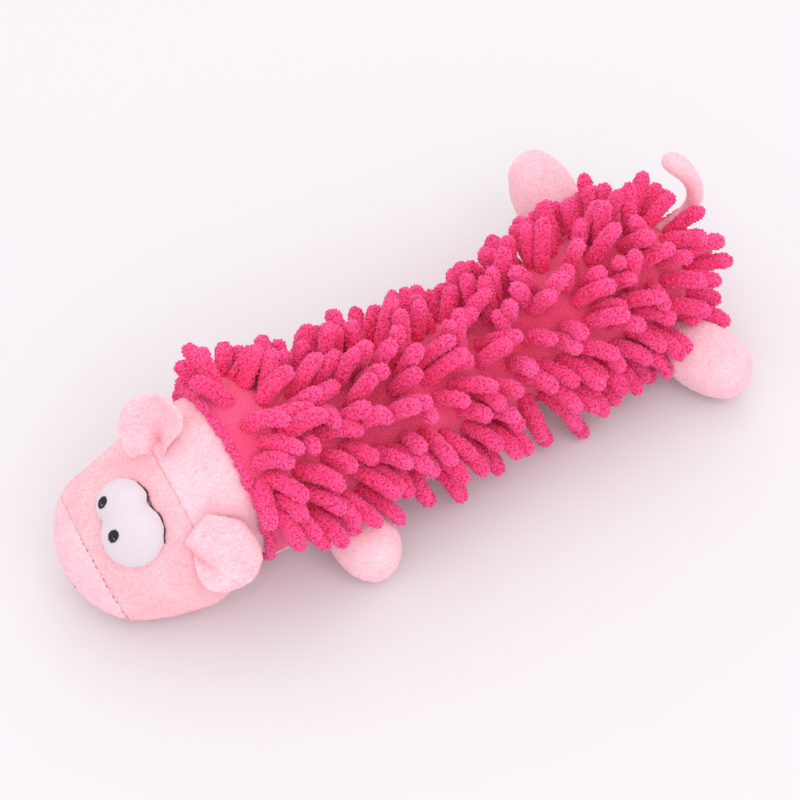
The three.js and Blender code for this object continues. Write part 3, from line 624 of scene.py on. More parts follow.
leg_trees = {}
for leg, body, blend_length, wider in (
    ("leg_front_left", "chest", 0.012, 1.05), ("leg_front_right", "chest", 0.012, 1.05),
    ("leg_rear_left", "rump", 0.014, 1.17), ("leg_rear_right", "rump", 0.014, 1.16),
):
    cover = cover_over(leg, leg + "_stuffing", LEG_GROW, LEG_VOXEL)
    low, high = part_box(leg + "_cover")
    middle = (np.array(low) + np.array(high)) / 2
    hinge = Vector(joints[leg + "_bend"])
    plumper = points_of(cover)
    plumper[:, 0] = middle[0] + (plumper[:, 0] - middle[0]) * wider
    plumper[:, 1] = hinge.y + (plumper[:, 1] - hinge.y) * LEG_LONGER
    plumper[:, 2] *= wider
    move_points(cover, plumper)
    outward = (low + high) / 2 - hinge
    outward.z = 0
    outward.normalize()
    stuff(cover, pressure=3, swell=LEG_SWELL)
    subdivide(cover)
    clear_of_fill(cover, leg + "_stuffing")
    leg_trees[leg] = tree_of(cover)
    cover.data.materials.append(plush)
    add_tufts(
        cover, spacing=0.0010, height=0.00035, radius=0.0005, lean=0.35, sweep=outward * 0.8, above=PLUSH_ABOVE)
    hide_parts(leg + "_cover")
    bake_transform(cover)

# Head: one plush bag, closed round its fill and sewn into the collar. It is cut as a nape piece, a face
# piece and a snout panel, with a seam from ear to ear and one round the snout.
HEAD_GROW = 0.0024
HEAD_VOXEL = 0.0035
HEAD_SWELL = 0.0025
HELD_FROM = -0.004
CROWN_SEAM = -0.020
SNOUT_SEAM = -0.0615
NAPE_END = 0.009
SNOUT_FROM = -0.036
SNOUT_OVER = 0.024
SNOUT_FULLER = 0.0022
SNOUT_WAY = np.array([-0.83, 0.50, 0.1])
# The face piece is the same plush painted deeper: painted shade for how light falls on its pile, brushed the other
# way.
FACE_PALE = (0.955, 0.597, 0.650)
FACE_DEEP = (0.950, 0.510, 0.574)
head_turn = (
    Matrix.Rotation(math.radians(-8), 4, "Z") @ Matrix.Rotation(math.radians(-15), 4, "Y")
    @ Matrix.Rotation(math.radians(18), 4, "X")
)
head_place = Matrix.Translation(neck) @ head_turn
into_head = head_place.inverted()
head_way = head_turn.to_3x3()


def in_head(points):
    """Points as the head sees them: from its root, along it, across it and up."""
    return np.array([into_head @ Vector(p) for p in points])


def eased(share):
    """A share from 0 to 1 that starts and ends gently."""
    share = np.clip(share, 0, 1)
    return share ** 2 * (3 - 2 * share)


def cut_across(piece, *stations):
    """Cuts a head piece's mesh along planes across the head, so that a seam runs straight."""
    data = edited(piece)
    for station in stations:
        bmesh.ops.bisect_plane(
            data, geom=[*data.verts, *data.edges, *data.faces], dist=1e-5,
            plane_co=head_place @ Vector((station, 0, 0)), plane_no=head_way @ Vector((1, 0, 0)))
    put_back(data, piece.data)


head_skin = cover_over("head_skin", "head_stuffing", HEAD_GROW, HEAD_VOXEL)
stuff(head_skin, pressure=3, swell=HEAD_SWELL, held=in_head(points_of(head_skin))[:, 0] > HELD_FROM)
subdivide(head_skin)
head_points = points_of(head_skin)
fuller = eased((SNOUT_FROM - in_head(head_points)[:, 0]) / SNOUT_OVER)
move_points(head_skin, head_points + fuller[:, None] * SNOUT_FULLER * SNOUT_WAY)
head_tree = tree_of(head_skin)
cut_across(head_skin, CROWN_SEAM, SNOUT_SEAM, NAPE_END)
nape = part_of(head_skin, "nape", lambda point: CROWN_SEAM < (into_head @ point).x < NAPE_END)
face_piece = part_of(head_skin, "face", lambda point: SNOUT_SEAM < (into_head @ point).x < CROWN_SEAM)
snout = part_of(head_skin, "snout", lambda point: (into_head @ point).x < SNOUT_SEAM)
bpy.data.objects.remove(head_skin)
forward = head_way @ Vector((-1, 0, 0))
# The face's plush: the body plush painted deeper, as painted shade.
shaded_face_plush = short_plush("short_plush_brushed_down", FACE_PALE, FACE_DEEP, patch_size=0.014)
for piece, node, cloth in (
    (nape, "nape_cover", plush), (face_piece, "face_cover", shaded_face_plush), (snout, "snout_panel", plush),
):
    piece.data.materials.append(cloth)
    add_tufts(
        piece, spacing=0.00095, height=0.00035, radius=0.0005, lean=0.35, sweep=-forward * 0.8, above=PLUSH_ABOVE)
    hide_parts(node)
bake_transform(nape)
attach(face_piece, "head")
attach(snout, "head")

# Snout seam: the brown thread that sews the snout panel to the face. It shows as short stitches of uneven
# length, sunk in the plush, and the pile hides some of them. Their dark brown is partly thread and partly painted
# shade in the seam's groove.
STITCH_LONG = 0.0013
STITCH_STEP = 0.0027
STITCH_RADIUS = 0.00015
STITCH_SUNK = 0.00005
STITCH_HIDDEN = 0.3
STITCH_AND_SEAM_SHADE_BROWN = (0.34, 0.18, 0.18)
stitch_random = np.random.default_rng(3)


def rings_along(line, radii, around, aside):
    """Rings of points square to a line, which start from one side of it."""
    heading = unit(np.gradient(line, axis=0))
    across = np.cross(heading[0], aside)
    points = []
    for spot, ahead, radius in zip(line, heading, radii):
        across = unit(across - ahead * (across @ ahead))
        beside = np.cross(ahead, across)
        for turn in 2 * math.pi * np.arange(around) / around:
            points.append(spot + (across * math.cos(turn) + beside * math.sin(turn)) * radius)
    return points


def tube_along(name, line, radii, around):
    """A closed tube of changing thickness along a line of points."""
    return new_piece(name, rings_along(line, radii, around, [0.2, 0.3, 0.93]), tube_faces(len(line), around))


def places_on(line, knots, places):
    """Places on a line, by how far along it they lie."""
    return np.stack([np.interp(places, knots, line[:, k]) for k in range(3)], axis=1)


def joined(pieces):
    select_only(pieces)
    bpy.ops.object.join()
    return pieces[0]


def add_nap(tree, shader, place, fineness, depth, strength, detail=2):
    """Raises the surface by fine uneven grains."""
    nap = add_node(tree, "TexNoise", {"Vector": place, "Scale": fineness, "Detail": detail})
    add_grain(tree, shader, nap.outputs["Fac"], depth, strength)


def plain_finish(name, colour, roughness, fineness, depth, strength):
    """A finish of one colour with a fine grain."""
    material, tree, shader = new_finish(name, roughness, colour)
    add_nap(tree, shader, add_node(tree, "TexCoord").outputs["Object"], fineness, depth, strength)
    return material


seam_line = []
for degrees in np.arange(60, 256, 1.0):
    turn = math.radians(degrees)
    heading = head_way @ Vector((0, math.cos(turn), math.sin(turn)))
    start = head_place @ Vector((SNOUT_SEAM, -0.004, 0))
    spot, normal = head_tree.ray_cast(start + heading * 0.08, -heading, 0.08)[:2]
    if spot is not None:
        seam_line.append(np.array(spot - normal * STITCH_SUNK))
seam_line = np.array(seam_line)
walked = np.concatenate([[0], np.cumsum(np.linalg.norm(np.diff(seam_line, axis=0), axis=1))])
stitches = []
for begin in np.arange(0.002, walked[-1] - 2 * STITCH_LONG, STITCH_STEP):
    if stitch_random.random() < STITCH_HIDDEN:
        continue
    begin += stitch_random.random() * STITCH_LONG * 0.5
    places = np.linspace(begin, begin + STITCH_LONG * (0.6 + 0.7 * stitch_random.random()), 5)
    line = places_on(seam_line, walked, places) + stitch_random.normal(size=3) * 0.00012
    stitches.append(tube_along("stitch", line, STITCH_RADIUS * np.array([0.4, 1.0, 1.1, 1.0, 0.4]), 6))
snout_stitches = joined(stitches)
snout_stitches.name = "snout_stitches"
# The stitches' dark brown is partly thread and partly painted shade in the seam's groove.
snout_stitches.data.materials.append(plain_finish(
    "brown_thread", STITCH_AND_SEAM_SHADE_BROWN, roughness=0.8, fineness=1500, depth=0.0001, strength=0.5))
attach(snout_stitches, "head")

# Eyes: one padded piece of smooth white cloth, a figure of eight on its side. It is stitched down across the
# face, with a little fill below it.
EYE_GROW = 0.0004
EYE_VOXEL = 0.0013
EYE_SWELL = 0.0012
FAR_EYE_FROM = -0.008
FAR_EYE_OVER = 0.014
FAR_EYE_NEARER = 0.0022
FAR_EYE_FORWARD = 0.0018
EYE_WHITE = (0.765, 0.675, 0.735)
EYE_SHADE = (0.740, 0.645, 0.705)
EYE_SHEEN = (1.0, 0.97, 1.0)
eyes = cover_over("eyes", "eye_pad", EYE_GROW, EYE_VOXEL)
eye_points = in_head(points_of(eyes))
far_eye = eased((eye_points[:, 1] - FAR_EYE_FROM) / FAR_EYE_OVER)
eye_points[:, 1] -= FAR_EYE_NEARER * far_eye
eye_points[:, 0] -= FAR_EYE_FORWARD * far_eye
move_points(eyes, [head_place @ Vector(p) for p in eye_points])
stuff(eyes, pressure=3, swell=EYE_SWELL)
subdivide(eyes)
eye_tree = tree_of(eyes)
eye_cloth, tree, shader, place = pale_and_deep(
    "eye_cloth", EYE_WHITE, EYE_SHADE, patch_size=0.012, roughness=0.75, sheen=0.25, sheen_tint=EYE_SHEEN)
add_nap(tree, shader, place, fineness=1800, depth=0.0002, strength=0.35)
eyes.data.materials.append(eye_cloth)
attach(eyes, "head")
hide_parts("eye_pad")

# Eye rim: a dark, slightly fuzzy thread. The eyes' rear edge is oversewn with it, where they rise from the
# plush; its dark brown is partly thread and partly painted shadow in the gap there.
RIM_FROM = 0.0085
RIM_TO = -0.0235
RIM_PLACES = 34
RIM_BAND = 0.0009
RIM_LIFT = 0.0006
RIM_FUZZ = 0.00022
RIM_THREAD = 0.00030
RIM_BROWN_AND_SHADOW = (0.10, 0.065, 0.060)
rim_random = np.random.default_rng(5)


def without_kinks(line, rounds):
    """A line of points with its kinks taken out. Its ends stay."""
    for turn in range(rounds):
        line[1:-1] = line[1:-1] * 0.5 + (line[:-2] + line[2:]) * 0.25
    return line


eye_points = points_of(eyes)
eye_in_head = in_head(eye_points)
rim = []
for aside in np.linspace(RIM_FROM, RIM_TO, RIM_PLACES):
    rearmost, found = -math.inf, None
    for i in np.nonzero(np.abs(eye_in_head[:, 1] - aside) < RIM_BAND)[0]:
        spot, normal = head_tree.find_nearest(Vector(eye_points[i]))[:2]
        if (Vector(eye_points[i]) - spot).dot(normal) > RIM_LIFT / 2 and eye_in_head[i, 0] > rearmost:
            rearmost, found = eye_in_head[i, 0], spot + normal * RIM_LIFT
    if found is not None:
        rim.append(np.array(found))
rim = without_kinks(np.array(rim), 2)
rim = places_on(rim, np.linspace(0, 1, len(rim)), np.linspace(0, 1, 5 * len(rim)))
rim += rim_random.normal(size=rim.shape) * RIM_FUZZ
rim_radii = RIM_THREAD * (0.5 + 1.0 * rim_random.random(len(rim)))
rim_radii[0] = rim_radii[-1] = RIM_THREAD * 0.3
# Partly thread and partly painted shadow where the eyes rise from the plush.
rim_thread = tube_along("eye_rim_thread", rim, rim_radii, 7)
rim_thread.data.materials.append(plain_finish(
    "rim_thread", RIM_BROWN_AND_SHADOW, roughness=0.8, fineness=1500, depth=0.0002, strength=0.5))
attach(rim_thread, "head")

# Pupils and nostrils: ovals of satin stitch, worked through the cloth below them. On a pupil the single
# threads show, slanting and of uneven length, and two short pale grey ones over its lower part stand partly for the
# eye cloth showing between the stitches and partly for a painted glint.
PUPIL_HALF_WIDTH = 0.0022
PUPIL_HALF_HEIGHT = 0.0027
PUPIL_RISE = 0.0005
PUPIL_THREAD = 0.00027
PUPIL_SLANT = math.radians(-14)
FAR_PUPIL_MOVE = Vector((-0.0012, -0.0022, 0))
NOSTRIL_HALF_WIDTH = 0.0012
NOSTRIL_HALF_HEIGHT = 0.0022
NOSTRIL_RISE = 0.0004
OVAL_RINGS = 7
OVAL_AROUND = 28
OVAL_SUNK = 0.0006
INSIDE_FACE = Vector((-0.035, -0.004, 0))
THREAD_BLACK = (0.010, 0.009, 0.012)
# Pale grey of two pupil threads: partly the eye cloth showing through, partly a painted glint.
THREAD_GLINT_AND_GAP = (0.30, 0.25, 0.32)
THREAD_PINK = (0.62, 0.20, 0.27)


def face_at(ground, middle):
    """The cloth's place next to a point, the way out of it there, and the ways across and up it."""
    spot, normal = ground.find_nearest(middle)[:2]
    if normal.dot(middle - (head_place @ INSIDE_FACE)) < 0:
        normal = -normal
    across = (head_way @ Vector((0, 1, 0))).cross(normal).cross(normal).normalized()
    return spot, normal, across, normal.cross(across).normalized()


def cloth_below(ground, target, normal):
    """The cloth's place straight below a point."""
    hit = ground.ray_cast(target + normal * 0.01, -normal, 0.03)[0]
    return target if hit is None else hit


def stitched_oval(name, ground, middle, half_width, half_height, rise):
    """A low dome of thread that follows the surface below it, closed underneath."""
    spot, normal, across, upward = face_at(ground, middle)
    top, under = [], []
    for ring in range(OVAL_RINGS + 1):
        share = ring / OVAL_RINGS
        for i in range(OVAL_AROUND if ring else 1):
            turn = 2 * math.pi * i / OVAL_AROUND
            base = cloth_below(ground, spot + across * (half_width * share * math.cos(turn))
                               + upward * (half_height * share * math.sin(turn)), normal)
            top.append(base + normal * rise * (0.25 + 0.75 * math.sqrt(max(0, 1 - share ** 2))))
            if ring == OVAL_RINGS:
                under.append(base - normal * OVAL_SUNK)
    faces = [(0, 1 + i, 1 + (i + 1) % OVAL_AROUND) for i in range(OVAL_AROUND)]
    faces += [(1 + a, 1 + d, 1 + c, 1 + b) for a, b, c, d in tube_faces(OVAL_RINGS + 1, OVAL_AROUND, closed=False)]
    faces.append(tuple(len(top) + i for i in reversed(range(OVAL_AROUND))))
    return new_piece(name, top + under, faces)


def thread(name, colour, roughness):
    material, tree, shader = new_finish(name, roughness, colour)
    place = add_node(tree, "TexCoord").outputs["Object"]
    strands = add_node(tree, "TexWave", {"Vector": place, "Scale": 900, "Distortion": 0.8})
    strands.bands_direction = "DIAGONAL"
    add_grain(tree, shader, strands.outputs["Fac"], depth=0.0001, strength=0.4)
    return material


def satin(ground, middle, half_width, half_height, rise, many, material):
    """Slanting threads side by side over a pupil, of uneven length, as the needle leaves them."""
    spot, normal, across, upward = face_at(ground, middle)
    along_thread = upward * math.cos(PUPIL_SLANT) + across * math.sin(PUPIL_SLANT)
    beside_thread = across * math.cos(PUPIL_SLANT) - upward * math.sin(PUPIL_SLANT)
    threads = []
    for share in np.linspace(-0.86, 0.86, many):
        reach = half_height * math.sqrt(1 - share ** 2) * (0.95 + 0.22 * rim_random.random())
        line = []
        for step in np.linspace(-1, 1, 7):
            base = cloth_below(
                ground, spot + beside_thread * (share * half_width * 1.02) + along_thread * (reach * step), normal)
            dome = math.sqrt(max(0, 1 - share ** 2 - step ** 2 * (1 - share ** 2)))
            line.append(np.array(base + normal * rise * (0.35 + 0.75 * dome)))
        radii = PUPIL_THREAD * np.array([0.5, 0.9, 1.0, 1.05, 1.0, 0.9, 0.5])
        threads.append(tube_along("satin_thread", np.array(line), radii, 6))
        threads[-1].data.materials.append(material)
    return threads


black_thread = thread("black_thread", THREAD_BLACK, 0.5)
worn_thread = thread("worn_thread", THREAD_GLINT_AND_GAP, 0.5)
pink_thread = thread("pink_thread", THREAD_PINK, 0.6)
pupil = (PUPIL_HALF_HEIGHT, PUPIL_RISE, black_thread)
nostril = (NOSTRIL_HALF_HEIGHT, NOSTRIL_RISE, pink_thread)
for kind, side, ground, half_width, (half_height, rise, material) in (
    ("pupil", "left", eye_tree, PUPIL_HALF_WIDTH, pupil), ("pupil", "right", eye_tree, PUPIL_HALF_WIDTH * 0.9, pupil),
    ("nostril", "left", head_tree, NOSTRIL_HALF_WIDTH, nostril),
    ("nostril", "right", head_tree, NOSTRIL_HALF_WIDTH, nostril),
):
    node = f"{kind}_{side}"
    low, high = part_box(node)
    middle = (low + high) / 2
    if node == "pupil_right":
        middle += head_way @ FAR_PUPIL_MOVE
    oval = stitched_oval(f"{kind}_thread_{side}", ground, middle, half_width, half_height, rise)
    oval.data.materials.append(material)
    if kind == "pupil":
        # Two short pale grey threads over the pupil's lower part: partly the eye cloth showing between the stitches,
        # partly a painted glint.
        lower = middle + head_way @ Vector((0, -half_width * 0.42, 0))
        oval = joined([
            oval, *satin(ground, middle, half_width, half_height, rise, 9, material),
            *satin(ground, lower, half_width * 0.25, half_height * 0.42, rise * 1.5, 2, worn_thread),
        ])
    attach(oval, "head")
    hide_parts(node)

# Ears: two small plush flaps, each two layers turned right side out, caught in the ear-to-ear seam. Each is
# pinched at its root, hollow, and curls at its edges.
EAR_THICKNESS = 0.0052
EAR_SUNK = 0.003
EAR_VOXEL = 0.0012
EAR_SWELL = 0.0010
EAR_ROUND_FROM = 0.5
EAR_NOTCH = 0.45
# How wide the painted shade in each ear's root fold is, and how far up the ear it reaches.
EAR_FOLD = 0.11
EAR_FOLD_END = 0.62
# Painted shade in the fold at each ear's root.
EAR_FOLD_SHADE = (0.88, 0.55, 0.60)
EAR_ROWS, EAR_COLUMNS = 13, 15
# The ears' plush: its finish paints shade into the fold at the root.
ear_plush = short_plush("short_plush_of_ears", PLUSH_PALE, PLUSH_DEEP, patch_size=0.010, painted_shade=EAR_FOLD_SHADE)
ear_trees = {}
# Each ear: how far its root lies from its hinge, the way it points, the way its hollow faces, its length and
# half width, half its root's width, how far its edges curl up towards that side and how far they do at the
# root, how far its tip does, and where its root is pinched and how deep.
for ear, from_hinge, out, facing, length, half_width, root_half, cup, root_cup, curl, pinch, pinch_depth in (
    ("ear_left", (0.0055, 0.0030, 0.0035), (13, -23.6, -14.8), (-0.303, -0.62, 0.723), 0.0285, 0.0145, 0.0095,
     -0.0040, 0.0030, -0.0060, 0.60, 0.0050),
    ("ear_right", (0.0030, -0.0018, -0.0026), (8, 11, 17), (-0.55, -0.55, 0.60), 0.0228, 0.0134, 0.0080,
     0.0045, 0.0125, 0.0045, 0.10, 0.0070),
):
    out = unit(np.array(out))
    facing = unit(np.array(facing) - out * (out @ np.array(facing)))
    across = np.cross(out, facing)
    root = np.array(joints[ear + "_bend"]) + np.array(from_hinge) - out * EAR_SUNK
    whole_length = length + EAR_SUNK
    front, rear = [], []
    for v in np.arange(EAR_ROWS) / (EAR_ROWS - 1):
        if v > EAR_ROUND_FROM:
            past = (v - EAR_ROUND_FROM) / (1 - EAR_ROUND_FROM)
            full = half_width * max(0.04, 1 - past ** 2.4) ** 0.5
        else:
            full = root_half + (half_width - root_half) * math.sin(v * math.pi)
        for u in 2 * np.arange(EAR_COLUMNS) / (EAR_COLUMNS - 1) - 1:
            notch = 1 - EAR_NOTCH * max(0, u) * math.exp(-((v - 0.12) / 0.2) ** 2)
            width = full * notch * (1 + 0.05 * math.sin(9 * v + 2 * u))
            lift = (root_cup * (1 - v) + cup * v) * u * u + curl * v ** 3
            lift -= pinch_depth * (1 - v) ** 1.3 * math.exp(-((u - pinch) / 0.22) ** 2)
            lift += 0.0010 * math.sin(4 * u + 6 * v)
            thick = EAR_THICKNESS / 2 * (0.45 + 0.55 * math.sqrt(1 - u ** 2)) * (0.5 + 0.5 * math.sqrt(1 - v ** 6))
            middle = root + out * whole_length * v + across * width * u + facing * lift
            front.append(middle + facing * thick)
            rear.append(middle - facing * thick)
    ear_faces = []
    for row in range(EAR_ROWS - 1):
        for a in range(row * EAR_COLUMNS, (row + 1) * EAR_COLUMNS - 1):
            quad = (a, a + 1, a + EAR_COLUMNS + 1, a + EAR_COLUMNS)
            ear_faces += [quad, tuple(len(front) + i for i in reversed(quad))]
    grid = np.arange(len(front)).reshape(EAR_ROWS, EAR_COLUMNS)
    border = [*grid[0], *grid[1:, -1], *grid[-1, -2::-1], *grid[-2:0:-1, 0]]
    for here, following in zip(border, border[1:] + border[:1]):
        ear_faces.append((following, here, len(front) + here, len(front) + following))
    flap = new_piece(ear + "_flap", front + rear, ear_faces)
    face_outwards(flap)
    even_out(flap, EAR_VOXEL, 8)
    stuff(flap, pressure=2, swell=EAR_SWELL)
    subdivide(flap)
    ear_trees[ear] = tree_of(flap)
    flap.data.materials.append(ear_plush)
    # Painted shade in the fold at the root: the ear's "reach" is low there, and the finish darkens it.
    from_root = points_of(flap) - root
    up_ear, over_ear = from_root @ out / whole_length, from_root @ across / half_width
    fold_shade = np.exp(-((over_ear - pinch * 0.8) / EAR_FOLD) ** 2) * np.clip(1 - up_ear / EAR_FOLD_END, 0, 1) ** 0.7
    flap.data.attributes.new("reach", "FLOAT", "POINT").data.foreach_set("value", 1 - np.clip(fold_shade, 0, 1))
    add_tufts(flap, spacing=0.00080, height=0.00042, radius=0.00042, lean=0.5, even=True)
    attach(flap, ear)
    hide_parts(ear)

# Tail: a thin roll of the same plush, turned and curled, sewn into the rump's end. Its root starts inside
# the body, and the noodles are kept clear of it where it swings.
TAIL_VOXEL = 0.0013
TAIL_SWING = math.radians(20)
TAIL_PATH = np.array([
    (0.1335, -0.0004, 0.0440), (0.1400, -0.0010, 0.0460), (0.1500, -0.0020, 0.0480),
    (0.1570, -0.0030, 0.0540), (0.1578, -0.0030, 0.0635), (0.1525, -0.0025, 0.0750),
    (0.1455, -0.0015, 0.0840), (0.1402, -0.0010, 0.0888), (0.1386, -0.0008, 0.0900),
])
TAIL_RADII = [0.0036, 0.0038, 0.0038, 0.0038, 0.0039, 0.0043, 0.0050, 0.0044, 0.0024]
knots, fine = np.linspace(0, 1, len(TAIL_PATH)), np.linspace(0, 1, 40)
tail_line = without_kinks(places_on(TAIL_PATH, knots, fine), 12)
curl = tube_along("tail_roll", tail_line, np.interp(fine, knots, TAIL_RADII), 14)
even_out(curl, TAIL_VOXEL, 6)
subdivide(curl)
tail_root = Vector(joints["tail_bend"])
tail_trees = []
for swing in (-TAIL_SWING, 0, TAIL_SWING):
    about_root = Matrix.Translation(tail_root) @ Matrix.Rotation(swing, 4, "Z") @ Matrix.Translation(-tail_root)
    tail_trees.append(tree_of(curl, about_root))
curl.data.materials.append(plush)
add_tufts(curl, spacing=0.0010, height=0.00035, radius=0.0005, lean=0.5)
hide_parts("tail")
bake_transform(curl)

# Noodles: tubes of chenille as thick as a pencil, tied into the ground cloth in staggered rows. They stand up
# along the back, bend over under their own weight at the sides and rest on one another, the legs and the floor.
NOODLE_RADIUS = 0.0034
NOODLE_SHORT = 0.0170
NOODLE_LONG = 0.0255
NOODLE_SPACING = 0.0104
NOODLE_ROOT = 0.002
NOODLE_JOINTS = 5
NOODLE_FLOOR = NOODLE_RADIUS + 0.0013
ROW_STEP = NOODLE_SPACING * 0.87
COLLAR_ROW = 0.0042
COLLAR_ROW_FROM = 1.6
COLLAR_BARE = 0.0022
COLLAR_BARE_NEAR = 0.0060
NEAR_MIDDLE = 1.65
NEAR_WIDTH = 0.55
BY_COLLAR_FROM = 0.078
BY_COLLAR_OVER = 0.03
BODY_HEART = 0.029
WAIST_BARE = 0.0060
RUMP_ROWS = [0.0985, 0.1045, 0.1095]
LAST_ROOT = 0.1112
SEAM_BARE = math.radians(7)
SEAM_CLEAR = math.radians(30)
LEG_CLEAR = -0.060
ROOT_STRAYS = 0.0012
ROOT_TURNS = 0.06
AIM_STRAYS = 0.46
BACK_LEAN = 0.75
COMBED = 0.42
COLLAR_PRESS = np.array([0.25, 0.0, -0.55])
FAR_SAG = 0.45
FAR_SHORTER = 0.15
FAR_CALMER = 0.4
DROOP = 0.00075
STEPS = 46
PUSH = 0.35
BEND = 0.22
NOODLE_PALE = (1.0, 0.192, 0.530)
NOODLE_DEEP = (1.0, 0.122, 0.405)
NOODLE_SHEEN = (1.0, 0.60, 0.85)
# Painted shade at the foot of each tuft and toward each noodle's root.
NOODLE_FOOT_SHADE = (1.0, 0.30, 0.42)
# Painted shade in the gaps between the chenille's loops.
NOODLE_LOOP_GAP_SHADE = (0.70, 0.25, 0.42)
noodle_random = np.random.default_rng(21)


def skin_place(along, angle):
    """A point on the body's skin and the direction square to it."""
    here = np.array([angle])
    on = body_ring(along + 0.0005, here)[0] - body_ring(along - 0.0005, here)[0]
    round_it = body_ring(along, here + 0.01)[0] - body_ring(along, here - 0.01)[0]
    return body_ring(along, here)[0], unit(np.cross(round_it, on))


roots, outs, alongs = [], [], []
row_places = [
    COLLAR + COLLAR_ROW, *np.arange(-WAIST_BARE, COLLAR + COLLAR_BARE, -ROW_STEP)[::-1],
    *np.arange(WAIST_BARE, 0.094, ROW_STEP), *RUMP_ROWS,
]
lowest, highest = SEAM_ANGLE + SEAM_BARE, math.pi - SEAM_ANGLE - SEAM_BARE
for row_number, along in enumerate(row_places):
    count = max(1, round((highest - lowest) * float(body_size(along, HALF_WIDTH)) / NOODLE_SPACING))
    for i in range(count + 1):
        share = (i + (0.5 if row_number % 2 else 0)) / count
        if share > 1.001:
            continue
        angle = lowest + (highest - lowest) * share + noodle_random.normal() * ROOT_TURNS
        place_along = along + noodle_random.normal() * ROOT_STRAYS
        bare = COLLAR_BARE + COLLAR_BARE_NEAR * math.exp(-((angle - NEAR_MIDDLE) / NEAR_WIDTH) ** 2)
        under_ear = row_number == 0 and angle < COLLAR_ROW_FROM
        by_leg = place_along < LEG_CLEAR and angle > math.pi - SEAM_ANGLE - SEAM_CLEAR
        if place_along < COLLAR + bare or under_ear or by_leg:
            continue
        spot, out = skin_place(min(place_along, LAST_ROOT), angle)
        roots.append(spot)
        outs.append(out)
        alongs.append(place_along)
roots, outs, alongs = np.array(roots), np.array(outs), np.array(alongs)
many = len(roots)
middle_line = np.column_stack([
    roots[:, 0],
    waist.y + np.where(alongs < 0, np.tan(CHEST_TURN), np.tan(RUMP_TURN)) * (roots[:, 0] - waist.x),
    np.full(many, BODY_HEART),
])
outs *= np.sign((outs * (roots - middle_line)).sum(axis=1))[:, None]
lengths = NOODLE_SHORT + (NOODLE_LONG - NOODLE_SHORT) * noodle_random.random(many)
strays = noodle_random.normal(size=(many, 3)) * AIM_STRAYS
by_collar = np.clip((-alongs - BY_COLLAR_FROM) / BY_COLLAR_OVER, 0, 1)
# How far each one belongs to the low or the high part of the far side, which hangs down or lies calmer.
far_low = np.clip(outs[:, 1] + 0.2, 0, 1) * np.clip((0.45 - outs[:, 2]) / 0.3, 0, 1)
far_high = np.clip(outs[:, 1], 0, 1) * np.clip((outs[:, 2] - 0.3) / 0.3, 0, 1)
calm = 1 - FAR_CALMER * far_high
lengths *= 1 - FAR_SHORTER * far_high
aims = outs + strays * calm[:, None] + by_collar[:, None] * COLLAR_PRESS
aims[:, 0] += COMBED * (1 - by_collar)
aims[:, 2] -= FAR_SAG * far_low
lean_way = noodle_random.random(many) * 2 * math.pi
lean = BACK_LEAN * np.clip(outs[:, 2], 0, 1) ** 1.5 * calm
aims[:, 0] += lean * np.cos(lean_way)
aims[:, 1] += lean * np.sin(lean_way)
aims = unit(aims)
segment = lengths / (NOODLE_JOINTS - 1)
chain = (roots - outs * NOODLE_ROOT)[:, None, :] + (
    aims[:, None, :] * segment[:, None, None] * np.arange(NOODLE_JOINTS)[None, :, None])


def out_of_body(points, room):
    """Moves points that lie inside the body, or nearer to it than room, straight out."""
    turn = np.where(points[:, 0] < waist.x, CHEST_TURN, RUMP_TURN)
    dx, dy = points[:, 0] - waist.x, points[:, 1] - waist.y
    length = dx * np.cos(turn) + dy * np.sin(turn)
    aside = -dx * np.sin(turn) + dy * np.cos(turn)
    above = points[:, 2] - body_size(length, MIDDLE)
    width = body_size(length, HALF_WIDTH, left=0.036, right=0) + room
    height = body_size(length, HALF_HEIGHT, left=0.036, right=0) + room
    radius = np.sqrt((aside / width) ** 2 + (above / height) ** 2)
    inside = (radius < 1) & (radius > 1e-6) & (length < 0.112) & (length > -0.125)
    push = np.where(inside, 1 / np.maximum(radius, 0.2), 1.0)
    aside, above = aside * push, above * push
    return np.column_stack([
        waist.x + length * np.cos(turn) - aside * np.sin(turn),
        waist.y + length * np.sin(turn) + aside * np.cos(turn),
        body_size(length, MIDDLE) + above,
    ])


def out_of_tree(points, ground, room, low, high):
    """Moves points that lie inside a closed surface, or too near it, out of it."""
    moved = points.copy()
    for i in np.nonzero(((points > low) & (points < high)).all(axis=1))[0]:
        spot, normal = ground.find_nearest(Vector(points[i]))[:2]
        if (Vector(points[i]) - spot).dot(normal) < room:
            moved[i] = np.array(spot + normal * room)
    return moved


# What the noodles rest on: its surface, its CAD node and how far round that node the surface may reach.
colliders = []
for ground, node, around in (
    *((ground, leg + "_cover", 0.007) for leg, ground in leg_trees.items()), (head_tree, "nape_cover", 0.007),
    *((ground, ear, 0.007) for ear, ground in ear_trees.items()), *((ground, "tail", 0.012) for ground in tail_trees),
):
    low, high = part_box(node)
    colliders.append((ground, np.array(low) - around, np.array(high) + around))

